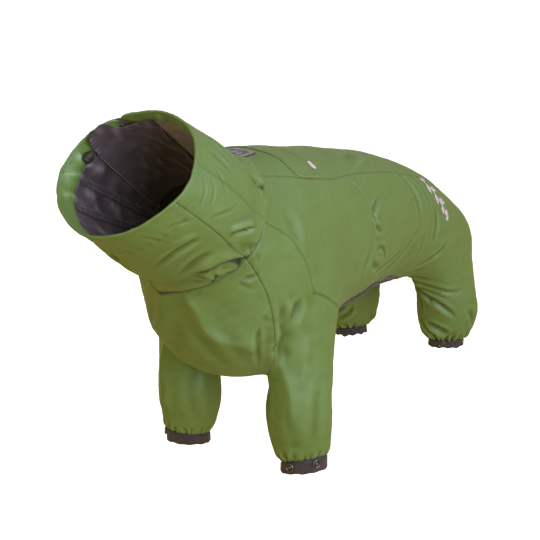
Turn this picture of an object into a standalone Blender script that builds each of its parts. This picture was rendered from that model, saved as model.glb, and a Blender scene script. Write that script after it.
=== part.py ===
"""Dog rain overalls: a worn, hollow waterproof coverall with a cowl collar and four legs.

The head end points to -Y, the wearer's left side to +X, and +Z is up. The origin is
where the garment is held up: on the inside of the back, over the wearer's withers.
Tables are in millimetres above the level of the front cuffs; MM turns them to metres.
"""
import math

import bmesh
import bpy
from mathutils import Matrix, Vector
from mathutils.bvhtree import BVHTree

MM = 0.001

# Driving dimensions, millimetres
HELD_Y = 40.0            # the withers, behind the front cuffs' centre line
HELD_Z = 389.5           # inside of the back there, above the front cuffs
CLOTH = 1.5              # wall of the laminated shell
LINING = 1.2             # wall of the collar's lining and facing
SEAM_GAP = 0.32          # between two sewn pieces
ZIP_GAP = 6.4            # between the two edges that the zip joins
COLUMNS = 16             # columns round the body
HALF = COLUMNS // 2
ZIP_COLUMN = 15          # the zip lies one column to the right of the spine
LEG_COLUMNS = 8
CUFF_HEIGHT = 15.0
BINDING_WIDTH = 7.0
EDGE_INSET = 0.6         # how far cuffs and binding lie inside the shell's outer face
EDGE_GAP = 0.8           # between an open edge and the band sewn to it
LAID_GAP = 0.5           # under a piece that lies on a panel
ZIP_DEPTH = 0.1          # top of the zip's chain under the shell's outer face
CHAIN_WIDTH = 5.6        # of the closed zip between its two edges
TURNED_SIDES = 14        # round a ring snap
HARD_SIDES = 12          # round the zip's slider and the cord lock
METAL = {"roughness": 0.35, "metallic": 0.9}


def spline_shrink(count):
    """How far a round cage of this many points shrinks when it is subdivided."""
    return (2 + math.cos(2 * math.pi / count)) / 3


# Sections of the collar and the body, rim to tail. Each lies in the plane through its top
# and bottom points. back, shoulder and chest are the angles from the top of the columns
# that carry those three seams; turn is how far the columns follow RIM_ANGLES.
SECTIONS = [
    # name          top_y top_z  bottom_y bottom_z half_width square back shoulder chest turn
    ("rim",          -166, 455,   -268, 333,        83,  2.0,   45,  75,  105, 1.00),
    ("collar_mid",   -129, 437,   -222, 299,        93,  2.0,   45,  80,  107, 0.50),
    ("collar_low",   -102, 424,   -192, 277,        99,  2.0,   45,  83,  109, 0.20),
    ("fold",          -86, 412,   -172, 260,       101,  2.0,   45,  84,  110, 0.00),
    ("tuck",          -78, 401,   -155, 265,        93,  2.0,   45,  85,  111, 0.00),
    ("neck",          -70, 397,   -142, 256,        94,  2.0,   43,  85,  111, 0.00),
    ("throat",        -45, 395,   -128, 214,        97,  2.1,   40,  81,  107, 0.00),
    ("forechest",     -12, 395,   -113, 168,       104,  2.2,   39,  79,  108, 0.00),
    ("shoulder",        2, 394,    -92, 134,       111,  2.3,   39,  84,  122, 0.00),
    ("leg_front",      20, 393,    -56, 120,       114,  2.3,   39,  89,  148, 0.00),
    ("leg_middle",     60, 390,      0, 116,       116,  2.3,   40, 100,  157, 0.00),
    ("leg_back",       84, 387,     32, 129,       114,  2.3,   41, 113,  150, 0.00),
    ("brisket",       107, 384,     68, 143,       112,  2.3,   42, 104,  130, 0.00),
    ("waist",         145, 380,    120, 153,       109,  2.3,   43,  93,  119, 0.00),
    ("loin",          215, 371,    215, 158,       107,  2.3,   44,  92,  123, 0.00),
    ("groin",         285, 360,    298, 157,       106,  2.3,   44,  92,  136, 0.00),
    ("thigh_front",   362, 339,    384, 148,       112,  2.3,   45,  95,  156, 0.00),
    ("thigh_middle",  424, 312,    450, 135,       117,  2.2,   45, 103,  158, 0.00),
    ("thigh_back",    480, 277,    518, 135,       117,  2.1,   45, 108,  156, 0.00),
    ("tail",          524, 240,    552, 146,        92,  2.0,   45,  98,  150, 0.00),
]
ROW = {section[0]: number for number, section in enumerate(SECTIONS)}

# The seam behind the flank bends off the waist's section: for each column from the spine
# down, the share of the way to the next section, or to the one before it where negative
WAIST_BENDS = [0, -0.2, -0.55, 0.07, 0.23, -0.25, -0.4, -0.4, -0.4]

# Angles from the top of the columns at the rim, where the collar is turned a little
RIM_ANGLES = [-4, 16, 36, 55, 75, 90, 105, 143, 180, 209, 238, 252, 266, 281, 303, 326]

# Sections of a leg, top to bottom, on the wearer's left. rise lifts the outer side.
FRONT_LEG = [
    # height  x   y  radius_x radius_y rise
    (80, 81, -3, 45, 45, 0),
    (42, 86, -1, 41, 41, 1),
    (19, 90, 0, 30, 30, 3),
]
REAR_LEG = [
    (98, 87, 464, 51, 53, 0),
    (60, 87, 464, 47, 49, 0),
    (42, 87, 464, 28, 28, 0),
]
RIGHT_DROP = {"front": 4.0, "rear": 9.0}     # how much lower the right leg hangs

# What lies inside the collar. along is 0 at the rim and 1 at the neck seam, and goes on past
# both: the guard's tongue stands out of the rim, and the lining reaches into the body.
ZIP_ANGLES = (326, 347)          # where the zip crosses the rim and the neck
FACING_START = 0.01
FACING_ALONG = 0.17
STRAIGHT_ALONG = (0.03, 0.97)    # where the shell is straight enough to measure depths from
LINING_ALONG = 1.3               # the lining runs on past the neck seam, into the body
LINING_DRAWN_IN = 5.0            # how much further in the lining lies at the neck
LINING_ROWS = 6
ROUND_STEPS = 28                 # across the facing and the lining
LINING_STEP = 0.003              # between the facing and what starts behind it
LAYERS = {
    # piece      depth under the shell's outer face, thickness
    "facing": (CLOTH + 0.9, LINING),
    "lining": (CLOTH + 0.9, LINING),
    "tape": (CLOTH + LINING + 2.7, 1.0),
    "guard": (CLOTH + LINING + 2.2, LINING),
}
TAPES = [
    # name                rim_angle deep_angle
    ("seam_tape_top_left", 75, 86),
    ("seam_tape_low_left", 105, 112),
    ("seam_tape_top_right", 266, 277),
    ("seam_tape_low_right", 239, 260),
]
TAPE_WIDTH = 11.0
GUARD_ANGLES = (294, 352)        # the free edge and the edge caught at the facing
GUARD_WANDER = -8.0              # how far round the free edge has turned at the deep end
GUARD_TONGUE = (296, 318)        # the stretch that stands out over the rim
TONGUE_ALONG = -0.075
GUARD_ON_FACING = 0.05           # how far the guard laps over the facing
GUARD_SHORT = 0.02               # how much sooner than the lining it ends
GUARD_STEPS = (10, 6)

# Pieces that lie on the back, inside limits across (x) and along (y) it
ON_THE_BACK = {
    # piece         right  left  front  rear  thickness colour
    "leash_flap": (-40.0, 95.0, 3.0, 47.0, 1.5, "shell"),
    "flap_tag": (61.0, 71.0, 47.4, 55.0, 1.0, "pale"),
    "neck_label": (-29.0, 29.0, -51.0, -11.0, 1.0, "dark"),
}

# The two ring snaps of each cuff: angles from straight out, towards the tail
SNAP_ANGLES = {
    "front_left": (-95, -29),
    "front_right": (-29, 37),
    "rear_left": (-78, 12),
    "rear_right": (12, 80),
}

# Hard pieces as rings on a short axis: half size across, half size along, height
SNAP_RINGS = [(4.6, 4.6, 0), (5.7, 5.7, 0.6), (5.6, 5.6, 1.8), (4.6, 4.6, 2.2), (3.4, 3.4, 1.4)]
SLIDER_RINGS = [(3.6, 5.0, 0), (4.2, 5.6, 0.6), (4.0, 5.4, 2.0), (1.3, 3.8, 2.2), (1.2, 3.4, 4.0)]
TOGGLE_RINGS = [(6.4, 4.4, 0), (7.4, 5.4, 1.2), (7.4, 5.4, 5.6), (6.0, 4.2, 7.6)]
TOGGLE_PLACE = (0.115, 287)      # along from the rim, angle round it
TOGGLE_LIFT = 1.4                # clears the facing's bend under it
TOGGLE_PROBE = (0.03, 3)         # along and angle between the points that its tilt is read from
SLIDER_FROM_RIM = 11.5           # its middle, along the zip
PULL_LENGTH = 24.0
PULL_WIDTH = 5.0
PULL_THICKNESS = 1.2

COLOURS = {
    "shell": (0.190, 0.300, 0.110),
    "dark": (0.035, 0.029, 0.032),
    "hard": (0.060, 0.060, 0.065),
    "metal": (0.350, 0.340, 0.330),
    "pale": (0.600, 0.580, 0.620),
}


# ---------------------------------------------------------------- scene and materials

def clear_scene():
    for old in list(bpy.data.objects):
        bpy.data.objects.remove(old, do_unlink=True)


def material(name, roughness=0.55, metallic=0.0):
    if name in bpy.data.materials:
        return bpy.data.materials[name]
    made = bpy.data.materials.new(name)
    made.use_nodes = True
    shader = made.node_tree.nodes["Principled BSDF"]
    shader.inputs["Base Color"].default_value = (*COLOURS[name], 1)
    shader.inputs["Roughness"].default_value = roughness
    shader.inputs["Metallic"].default_value = metallic
    return made


def frame_point(x, y, z):
    """From millimetres over the front cuffs to metres in the part's frame."""
    return Vector((x, y - HELD_Y, z - HELD_Z)) * MM


def add_object(name, bm, colour, **finish):
    mesh = bpy.data.meshes.new(name)
    bm.to_mesh(mesh)
    bm.free()
    mesh.shade_smooth()
    mesh.set_sharp_from_angle(angle=math.radians(50))
    mesh.materials.append(material(colour, **finish))
    made = bpy.data.objects.new(name, mesh)
    bpy.context.scene.collection.objects.link(made)
    return made


# ---------------------------------------------------------------- the garment's form

def between(a, b, share):
    return a + (b - a) * share


def column_angles(section):
    """The angles of all columns, from the three seam angles of a section."""
    back, shoulder, chest, turn = section[7:]
    half = [0, back / 2, back, between(back, shoulder, 0.5), shoulder,
            between(shoulder, chest, 0.5), chest, between(chest, 180, 0.5), 180]
    whole = half + [360 - angle for angle in reversed(half[1:-1])]
    return [between(plain, turned, turn) for plain, turned in zip(whole, RIM_ANGLES)]


def section_point(section, angle, inset=0.0):
    """A point of a section's outline, or of one that lies inset millimetres inside it."""
    _, top_y, top_z, bottom_y, bottom_z, half_width, square = section[:7]
    rise_y, rise_z = (top_y - bottom_y) / 2, (top_z - bottom_z) / 2
    half_height = math.hypot(rise_y, rise_z)
    sine, cosine = math.sin(math.radians(angle)), math.cos(math.radians(angle))
    power = 2 / square
    across = math.copysign(abs(sine) ** power, sine) * (half_width - inset)
    along = math.copysign(abs(cosine) ** power, cosine) * (1 - inset / half_height)
    centre_y, centre_z = (top_y + bottom_y) / 2, (top_z + bottom_z) / 2
    return Vector((across, centre_y + rise_y * along, centre_z + rise_z * along))


def cage_section(section):
    """The cage's ring for a section, let out for what subdividing takes in."""
    out = 1 / spline_shrink(COLUMNS)
    points = [section_point(section, angle) for angle in column_angles(section)]
    centre = sum(points, Vector()) / len(points)
    return [centre + (point - centre) * out for point in points]


def piece_at(row, column):
    """The name of the piece that a face of the body's cage belongs to."""
    side = "left" if column < HALF else "right"
    near = column if column < HALF else COLUMNS - 1 - column
    if row < ROW["neck"]:
        if near >= 6:
            return "collar_throat"
        if near >= 4:
            return "collar_side_" + side
        return "collar_top_right" if 12 <= column < ZIP_COLUMN else "collar_top_left"
    if near < 2:
        return "back_right" if column == ZIP_COLUMN - 1 else "back_left"
    if near >= 6:
        if row < ROW["leg_back"]:
            return "chest"
        return "belly" if row < ROW["groin"] else None
    if near >= 4:
        if row < ROW["leg_front"]:
            return "shoulder_leg_" + side
        if ROW["leg_front"] <= row < ROW["leg_back"]:
            return None
        if ROW["thigh_front"] <= row < ROW["thigh_back"]:
            return None
    return ("flank_" if row < ROW["waist"] else "thigh_leg_") + side


def build_cage():
    """The whole garment as one open quad cage. Each face's material is its piece."""
    points, faces, owners = [], [], []
    rings = [cage_section(section) for section in SECTIONS]
    waist = ROW["waist"]
    straight = list(rings[waist])
    for column, point in enumerate(straight):
        share = WAIST_BENDS[min(column, COLUMNS - column)]
        neighbour = rings[waist + (1 if share > 0 else -1)][column]
        rings[waist][column] = point.lerp(neighbour, abs(share))
    for ring in rings:
        points += ring

    def body(row, column):
        return row * COLUMNS + column % COLUMNS

    for row in range(len(SECTIONS) - 1):
        for column in range(COLUMNS):
            owner = piece_at(row, column)
            if owner:
                faces.append((body(row, column), body(row, column + 1),
                              body(row + 1, column + 1), body(row + 1, column)))
                owners.append(owner)

    out = 1 / spline_shrink(LEG_COLUMNS)
    for table, first, piece, place in ((FRONT_LEG, "leg_front", "shoulder_leg_", "front"),
                                       (REAR_LEG, "thigh_front", "thigh_leg_", "rear")):
        for side, mirror in (("left", 1), ("right", -1)):
            top = ROW[first]
            hole = [(1, 4), (2, 4), (2, 5), (2, 6), (1, 6), (0, 6), (0, 5), (0, 4)]
            above = [body(top + step, mirror * column) for step, column in hole]
            drop = RIGHT_DROP[place] if side == "right" else 0
            for height, x, y, radius_x, radius_y, rise in table:
                below = []
                for corner in range(LEG_COLUMNS):
                    angle = 2 * math.pi * corner / LEG_COLUMNS
                    below.append(len(points))
                    points.append(Vector((mirror * (x + radius_x * out * math.cos(angle)),
                                          y + radius_y * out * math.sin(angle),
                                          height - drop + rise * math.cos(angle))))
                for corner in range(LEG_COLUMNS):
                    following = (corner + 1) % LEG_COLUMNS
                    face = (above[corner], below[corner], below[following], above[following])
                    faces.append(face if mirror == 1 else face[::-1])
                    owners.append(piece + side)
                above = below
    names = sorted(set(owners))
    mesh = bpy.data.meshes.new("form")
    mesh.from_pydata([frame_point(*point) for point in points], [], faces)
    for name in names:
        mesh.materials.append(bpy.data.materials.new("piece " + name))
    mesh.polygons.foreach_set("material_index", [names.index(owner) for owner in owners])
    form = bpy.data.objects.new("form", mesh)
    bpy.context.scene.collection.objects.link(form)
    smooth = form.modifiers.new("smooth", "SUBSURF")
    smooth.levels = smooth.render_levels = 1
    evaluated = form.evaluated_get(bpy.context.evaluated_depsgraph_get())
    surface = bpy.data.meshes.new_from_object(evaluated)
    bpy.data.objects.remove(form)
    return surface, names


class Garment:
    """The smooth surface of the garment, with its faces sorted into pieces."""

    def __init__(self):
        surface, self.names = build_cage()
        self.points = [vertex.co.copy() for vertex in surface.vertices]
        self.normals = [vertex.normal.copy() for vertex in surface.vertices]
        self.faces = [tuple(face.vertices) for face in surface.polygons]
        self.owners = [self.names[face.material_index] for face in surface.polygons]
        self.tree = BVHTree.FromPolygons(self.points, self.faces)
        self.around, self.edges = {}, {}
        for number, face in enumerate(self.faces):
            for a, b in zip(face, face[1:] + face[:1]):
                self.around.setdefault(a, []).append(number)
                self.edges.setdefault((min(a, b), max(a, b)), []).append(number)

    def hem_loops(self):
        """The open edges as closed loops of vertex numbers."""
        sides = {(a, b) for face in self.faces for a, b in zip(face, face[1:] + face[:1])}
        step = {b: a for a, b in sides if (b, a) not in sides}
        loops = []
        while step:
            first = min(step)
            loop, here = [first], step.pop(first)
            while here != first:
                loop.append(here)
                here = step.pop(here)
            loops.append(loop)
        return loops

    def seam_between(self, one, other):
        """The vertex numbers along the seam of two pieces, in order."""
        links = {}
        for (a, b), meeting in self.edges.items():
            if {self.owners[number] for number in meeting} == {one, other}:
                links.setdefault(a, []).append(b)
                links.setdefault(b, []).append(a)
        ends = [vertex for vertex, near in links.items() if len(near) == 1]
        path = [min(ends, key=lambda vertex: self.points[vertex].y)]
        while True:
            onward = [v for v in links[path[-1]] if v not in path]
            if not onward:
                return path
            path.append(onward[0])


def split_quads(faces):
    """Every face as triangles, cut from its lowest-numbered corner."""
    triangles = []
    for face in faces:
        start = face.index(min(face))
        turned = list(face[start:]) + list(face[:start])
        triangles += [(turned[0], b, c) for b, c in zip(turned[1:], turned[2:])]
    return triangles


def solid_from_grid(outer, inner, faces):
    """A closed body from matching outer and inner points and the outer faces.

    The wall's edge is split from the lower outer number to the higher inner one, so that
    two pieces that share a seam split it alike and stay clear of each other.
    """
    bm = bmesh.new()
    outside = [bm.verts.new(point) for point in outer]
    inside = [bm.verts.new(point) for point in inner]
    used = set()
    for face in split_quads(faces):
        bm.faces.new([outside[corner] for corner in face])
        bm.faces.new([inside[corner] for corner in reversed(face)])
        used |= set(zip(face, face[1:] + face[:1]))
    for a, b in used:
        if (b, a) in used:
            continue
        if a < b:
            bm.faces.new((outside[b], outside[a], inside[b]))
            bm.faces.new((outside[a], inside[a], inside[b]))
        else:
            bm.faces.new((outside[b], outside[a], inside[a]))
            bm.faces.new((outside[b], inside[a], inside[b]))
    for vertex in [v for v in bm.verts if not v.link_faces]:
        bm.verts.remove(vertex)
    bmesh.ops.recalc_face_normals(bm, faces=bm.faces)
    return bm


def edge_pulls(garment, name, zip_partners):
    """For each border point of a piece, the ways and distances that it draws in by."""
    pulls = {}
    for (a, b), meeting in garment.edges.items():
        own = [n for n in meeting if garment.owners[n] == name]
        if len(own) != 1:
            continue
        others = {garment.owners[n] for n in meeting} - {name}
        if not others:
            distance = 0.0
        else:
            distance = (ZIP_GAP if others & zip_partners else SEAM_GAP) / 2
        along = (garment.points[b] - garment.points[a]).normalized()
        normal = (garment.normals[a] + garment.normals[b]).normalized()
        inward = normal.cross(along).normalized()
        if inward.dot(face_middle(garment, own[0]) - garment.points[a]) < 0:
            inward.negate()
        for corner in (a, b):
            pulls.setdefault(corner, []).append((inward, distance))
    return pulls


def drawn_in(pulls):
    """The one move that draws a border point in from both edges that meet there."""
    (way_1, distance_1), (way_2, distance_2) = pulls[0], pulls[-1]
    shared = way_1.dot(way_2)
    spread = 1 - shared ** 2
    if spread < 0.05:
        return (way_1 + way_2).normalized() * (distance_1 + distance_2) / 2
    return (way_1 * (distance_1 - shared * distance_2)
            + way_2 * (distance_2 - shared * distance_1)) / spread


def panel(garment, name, zip_partners=frozenset()):
    """One cut piece: its faces, drawn in from its seams, with a wall on the inside."""
    own = [n for n, owner in enumerate(garment.owners) if owner == name]
    numbers = sorted({corner for n in own for corner in garment.faces[n]})
    index = {number: place for place, number in enumerate(numbers)}
    pulls = edge_pulls(garment, name, zip_partners)
    outer, inner = [], []
    for number in numbers:
        point, normal = garment.points[number], garment.normals[number]
        if number in pulls:
            point = point + drawn_in(pulls[number]) * MM
        outer.append(point)
        inner.append(point - normal * CLOTH * MM)
    quads = [[index[corner] for corner in garment.faces[n]] for n in own]
    return add_object(name, solid_from_grid(outer, inner, quads),
                      "dark" if name == "belly" else "shell")


# ---------------------------------------------------------------- edges: cuffs, binding

def face_middle(garment, number):
    corners = garment.faces[number]
    return sum((garment.points[corner] for corner in corners), Vector()) / len(corners)


def onward_ways(garment, loop):
    """For each point of an open edge, the way that carries the cloth on past it."""
    ways = []
    for place, number in enumerate(loop):
        after = loop[(place + 1) % len(loop)]
        along = (garment.points[after] - garment.points[loop[place - 1]]).normalized()
        around = garment.around[number]
        middle = sum((face_middle(garment, n) for n in around), Vector()) / len(around)
        back = middle - garment.points[number]
        back -= garment.normals[number] * back.dot(garment.normals[number])
        back -= along * back.dot(along)
        ways.append(-back.normalized())
    return ways


def edge_band(garment, name, loop, ways, width):
    """A band of dark cloth that goes on from an open edge of the garment."""
    order = sorted(loop)
    way_at = dict(zip(loop, ways))
    outer, inner = [], []
    for reach in (EDGE_GAP, width):
        for number in order:
            way, normal = way_at[number], garment.normals[number]
            face_out = (normal - way * normal.dot(way)).normalized()
            place = garment.points[number] + (way * reach - face_out * EDGE_INSET) * MM
            outer.append(place)
            inner.append(place - face_out * CLOTH * MM)
    spots = [order.index(number) for number in loop]
    quads = [[a, a + len(loop), b + len(loop), b] for a, b in zip(spots, spots[1:] + spots[:1])]
    return add_object(name, solid_from_grid(outer, inner, quads), "dark")


def stacked(name, seat, turn, rings, sides, colour, **finish):
    """A hard piece from rings on the axis of turn's Z, closed at both ends."""
    bm = bmesh.new()
    loops = []
    for half_across, half_along, height in rings:
        loop = []
        for step in range(sides):
            angle = 2 * math.pi * (step + 0.5) / sides
            offset = Vector((half_across * math.cos(angle), half_along * math.sin(angle), height))
            loop.append(bm.verts.new(seat + turn @ offset * MM))
        loops.append(loop)
    for lower, upper in zip(loops, loops[1:]):
        for step in range(sides):
            after = (step + 1) % sides
            bm.faces.new((lower[step], lower[after], upper[after], upper[step]))
    bm.faces.new(loops[0][::-1])
    bm.faces.new(loops[-1])
    return add_object(name, bm, colour, **finish)


def cuff_with_snaps(garment, loop):
    """A gathered cuff under a leg, and the two ring snaps that its tab closes with."""
    centre = sum((garment.points[number] for number in loop), Vector()) / len(loop)
    side = 1 if centre.x > 0 else -1
    name = ("rear_" if centre.y > 0.2 else "front_") + ("left" if side == 1 else "right")
    edge_band(garment, "cuff_" + name, loop, [Vector((0, 0, -1))] * len(loop), CUFF_HEIGHT)
    arms = [garment.points[number] - centre for number in loop]
    for count, angle in enumerate(SNAP_ANGLES[name], 1):
        turn = math.radians(angle)
        way = Vector((side * math.cos(turn), math.sin(turn), 0))
        nearest = max(arms, key=lambda arm: arm.dot(way))
        reach = nearest.dot(way) + (SEAM_GAP - EDGE_INSET) * MM
        middle = nearest.z - (CUFF_HEIGHT + EDGE_GAP) / 2 * MM
        seat = centre + way * reach + Vector((0, 0, middle))
        stacked(f"snap_{name}_{count}", seat, way.to_track_quat("Z", "Y"), SNAP_RINGS,
                TURNED_SIDES, "metal", **METAL)


# ---------------------------------------------------------------- inside the collar

def collar_section(along):
    """The straight section between the rim and the neck seam, millimetres."""
    rim, neck = SECTIONS[ROW["rim"]], SECTIONS[ROW["neck"]]
    return ["between"] + [between(a, b, along) for a, b in zip(rim[1:7], neck[1:7])]


def collar_point(garment, along, angle, depth):
    """A point inside the collar, depth millimetres in from the shell's outer face."""
    level = min(max(along, STRAIGHT_ALONG[0]), STRAIGHT_ALONG[1])
    centre = frame_point(*(section_point(collar_section(level), 0)
                           + section_point(collar_section(level), 180)) / 2)
    outline = frame_point(*section_point(collar_section(level), angle))
    way = outline - centre
    hit = garment.tree.ray_cast(centre, way.normalized())
    share = 1.0 if hit[0] is None else min(1.0, hit[3] / way.length)
    section = collar_section(along)
    middle = (section_point(section, 0) + section_point(section, 180)) / 2
    arm = section_point(section, angle) - middle
    depth += LINING_DRAWN_IN * max(along, 0) ** 2
    return frame_point(*(middle + arm * share - arm.normalized() * depth))


def collar_patch(garment, name, layer, corner_angles, corner_alongs, steps, colour):
    """A piece inside the collar. Angles and alongs are functions of (across, down)."""
    depth, thick = LAYERS[layer]
    across_steps, down_steps = steps
    outer, inner = [], []
    for across in range(across_steps + 1):
        for down in range(down_steps + 1):
            u, v = across / across_steps, down / down_steps
            angle, along = corner_angles(u, v), corner_alongs(u, v)
            outer.append(collar_point(garment, along, angle, depth))
            inner.append(collar_point(garment, along, angle, depth + thick))
    columns = down_steps + 1
    quads = [[a * columns + d, (a + 1) * columns + d, (a + 1) * columns + d + 1, a * columns + d + 1]
             for a in range(across_steps) for d in range(down_steps)]
    return add_object(name, solid_from_grid(outer, inner, quads), colour)


def zip_edge(side, along):
    """The angle of one side of the zip's opening inside the collar."""
    radius = between(SECTIONS[ROW["rim"]][5], SECTIONS[ROW["neck"]][5], along)
    half = math.degrees((ZIP_GAP / 2 + 1.0) / radius)
    return between(*ZIP_ANGLES, along) + side * half


def build_collar_inside(garment):
    def round_from_zip(first, last):
        def angle(u, v):
            along = between(first, last, v)
            return between(zip_edge(1, along) - 360, zip_edge(-1, along), u)
        return angle, lambda u, v: between(first, last, v)

    angle, along = round_from_zip(FACING_START, FACING_ALONG)
    collar_patch(garment, "collar_facing", "facing", angle, along, (ROUND_STEPS, 1), "shell")
    angle, along = round_from_zip(FACING_ALONG + LINING_STEP, LINING_ALONG)
    collar_patch(garment, "collar_lining", "lining", angle, along, (ROUND_STEPS, LINING_ROWS),
                 "dark")

    for name, rim_angle, deep_angle in TAPES:
        def tape_angle(u, v, first=rim_angle, last=deep_angle):
            half = math.degrees(TAPE_WIDTH / 2 / SECTIONS[0][5])
            return between(first, last, v) + (2 * u - 1) * half
        collar_patch(garment, name, "tape", tape_angle,
                     lambda u, v: between(FACING_ALONG + LINING_STEP, LINING_ALONG, v),
                     (1, LINING_ROWS), "dark")

    def guard_along(u, v):
        angle = between(*GUARD_ANGLES, u)
        out = GUARD_TONGUE[0] <= angle <= GUARD_TONGUE[1]
        start = TONGUE_ALONG if out else FACING_ALONG - GUARD_ON_FACING
        return between(start, LINING_ALONG - GUARD_SHORT, v)

    def guard_angle(u, v):
        return between(GUARD_ANGLES[0] + GUARD_WANDER * v, GUARD_ANGLES[1], u)

    collar_patch(garment, "zip_guard", "guard", guard_angle, guard_along, GUARD_STEPS, "dark")


def build_toggle(garment):
    """The cord lock of the rim's drawcord, on the facing."""
    along, angle = TOGGLE_PLACE
    depth = sum(LAYERS["facing"])
    seat = collar_point(garment, along, angle, depth)
    onward, round_it = TOGGLE_PROBE
    around = collar_point(garment, along, angle + round_it, depth) - seat
    down = collar_point(garment, along + onward, angle, depth) - seat
    inward = down.cross(around).normalized()
    stacked("cord_lock", seat + inward * TOGGLE_LIFT * MM, facing_turn(inward, around),
            TOGGLE_RINGS, HARD_SIDES, "hard")


def facing_turn(up, across):
    """The rotation whose Z is up and whose X lies as near to across as it can."""
    up = up.normalized()
    across = (across - up * across.dot(up)).normalized()
    return Matrix((across, up.cross(across), up)).transposed().to_quaternion()


# ---------------------------------------------------------------- zip

def zip_path(garment):
    """Points and normals of the seam that the zip closes, from the rim to the tail."""
    seam = garment.seam_between("collar_top_left", "collar_top_right")
    seam += garment.seam_between("back_left", "back_right")[1:]
    return [(garment.points[number], garment.normals[number]) for number in seam]


def stretch(path, start, end):
    """The part of a path between two distances from its first point, millimetres."""
    cut, gone = [], 0.0
    for (a, normal_a), (b, normal_b) in zip(path, path[1:]):
        length = (b - a).length / MM
        low, high = max(start, gone), min(end, gone + length)
        for distance in (low, high) if low < high else ():
            share = (distance - gone) / length
            row = (a.lerp(b, share), normal_a.lerp(normal_b, share).normalized())
            if not cut or (row[0] - cut[-1][0]).length > 0.01 * MM:
                cut.append(row)
        gone += length
    return cut


def strip(name, path, width, rise, thickness, colour, **finish):
    """A flat strip along a path, its lower face rise millimetres over it."""
    outer, inner = [], []
    for place, (point, normal) in enumerate(path):
        before, after = path[max(place - 1, 0)][0], path[min(place + 1, len(path) - 1)][0]
        across = (after - before).cross(normal).normalized()
        for side in (-1, 1):
            low = point + (across * side * width / 2 + normal * rise) * MM
            inner.append(low)
            outer.append(low + normal * thickness * MM)
    quads = [[2 * n, 2 * n + 1, 2 * n + 3, 2 * n + 2] for n in range(len(path) - 1)]
    return add_object(name, solid_from_grid(outer, inner, quads), colour, **finish)


def build_zip(garment):
    """The closed zip, with its slider at the rim and the slider's soft pull."""
    path = zip_path(garment)
    strip("zip_chain", path, CHAIN_WIDTH, -ZIP_DEPTH - CLOTH, CLOTH, "dark")
    (here, normal), (beyond, _) = stretch(path, SLIDER_FROM_RIM, SLIDER_FROM_RIM + 2)[:2]
    onward = beyond - here
    turn = facing_turn(normal - onward * normal.dot(onward) / onward.length_squared,
                       onward.cross(normal))
    stacked("zip_slider", here + turn @ Vector((0, 0, SEAM_GAP - ZIP_DEPTH)) * MM, turn,
            SLIDER_RINGS, HARD_SIDES, "metal", **METAL)
    start = SLIDER_FROM_RIM + max(ring[1] for ring in SLIDER_RINGS) + SEAM_GAP
    strip("zip_pull", stretch(path, start, start + PULL_LENGTH), PULL_WIDTH,
          SEAM_GAP, PULL_THICKNESS, "dark")


# ---------------------------------------------------------------- pieces on the back

def laid_on_back(garment, name):
    """A piece that lies on the back: the back's own surface inside four limits, moved out."""
    right, left, front, rear, thickness, colour = ON_THE_BACK[name]
    own = [face for face, owner in zip(garment.faces, garment.owners) if owner == "back_left"]
    bm = bmesh.new()
    lift = bm.verts.layers.float_vector.new("lift")
    corner = {}
    for number in sorted({number for face in own for number in face}):
        corner[number] = bm.verts.new(garment.points[number])
        corner[number][lift] = garment.normals[number]
    for face in split_quads(own):
        bm.faces.new([corner[number] for number in face])
    for axis, limit, outward in ((0, right, -1), (0, left, 1), (1, front, -1), (1, rear, 1)):
        way, place = Vector(), frame_point(limit, limit, 0)
        way[axis] = outward
        bmesh.ops.bisect_plane(bm, geom=bm.verts[:] + bm.edges[:] + bm.faces[:],
                               plane_co=place, plane_no=way, clear_outer=True)
    bm.verts.index_update()
    ways = [vert[lift].normalized() for vert in bm.verts]
    inner = [vert.co + way * LAID_GAP * MM for vert, way in zip(bm.verts, ways)]
    outer = [place + way * thickness * MM for place, way in zip(inner, ways)]
    faces = [[vert.index for vert in face.verts] for face in bm.faces]
    bm.free()
    return add_object(name, solid_from_grid(outer, inner, faces), colour)


def main():
    clear_scene()
    garment = Garment()
    left_of_zip = {"collar_top_left", "back_left"}
    right_of_zip = {"collar_top_right", "back_right"}
    for name in garment.names:
        partners = frozenset()
        if name in left_of_zip:
            partners = right_of_zip
        elif name in right_of_zip:
            partners = left_of_zip
        panel(garment, name, partners)
    for loop in garment.hem_loops():
        if len(loop) == 2 * LEG_COLUMNS:
            cuff_with_snaps(garment, loop)
        elif garment.points[loop[0]].y > 0:
            edge_band(garment, "rear_binding", loop, onward_ways(garment, loop), BINDING_WIDTH)
    build_collar_inside(garment)
    build_toggle(garment)
    build_zip(garment)
    for name in ON_THE_BACK:
        laid_on_back(garment, name)


main()
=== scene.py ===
"""The looks of the dog rain overalls: cloth, seams, stitches, trims, floor, light, camera.

Lengths in the tables are millimetres in the part's frame: -Y is the head end, +X the
wearer's left, +Z up, and the origin lies inside the back over the withers.
"""
import math

import bmesh
import bpy
import numpy as np
from mathutils import Matrix, Vector
from mathutils.bvhtree import BVHTree
from mathutils.kdtree import KDTree


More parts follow.
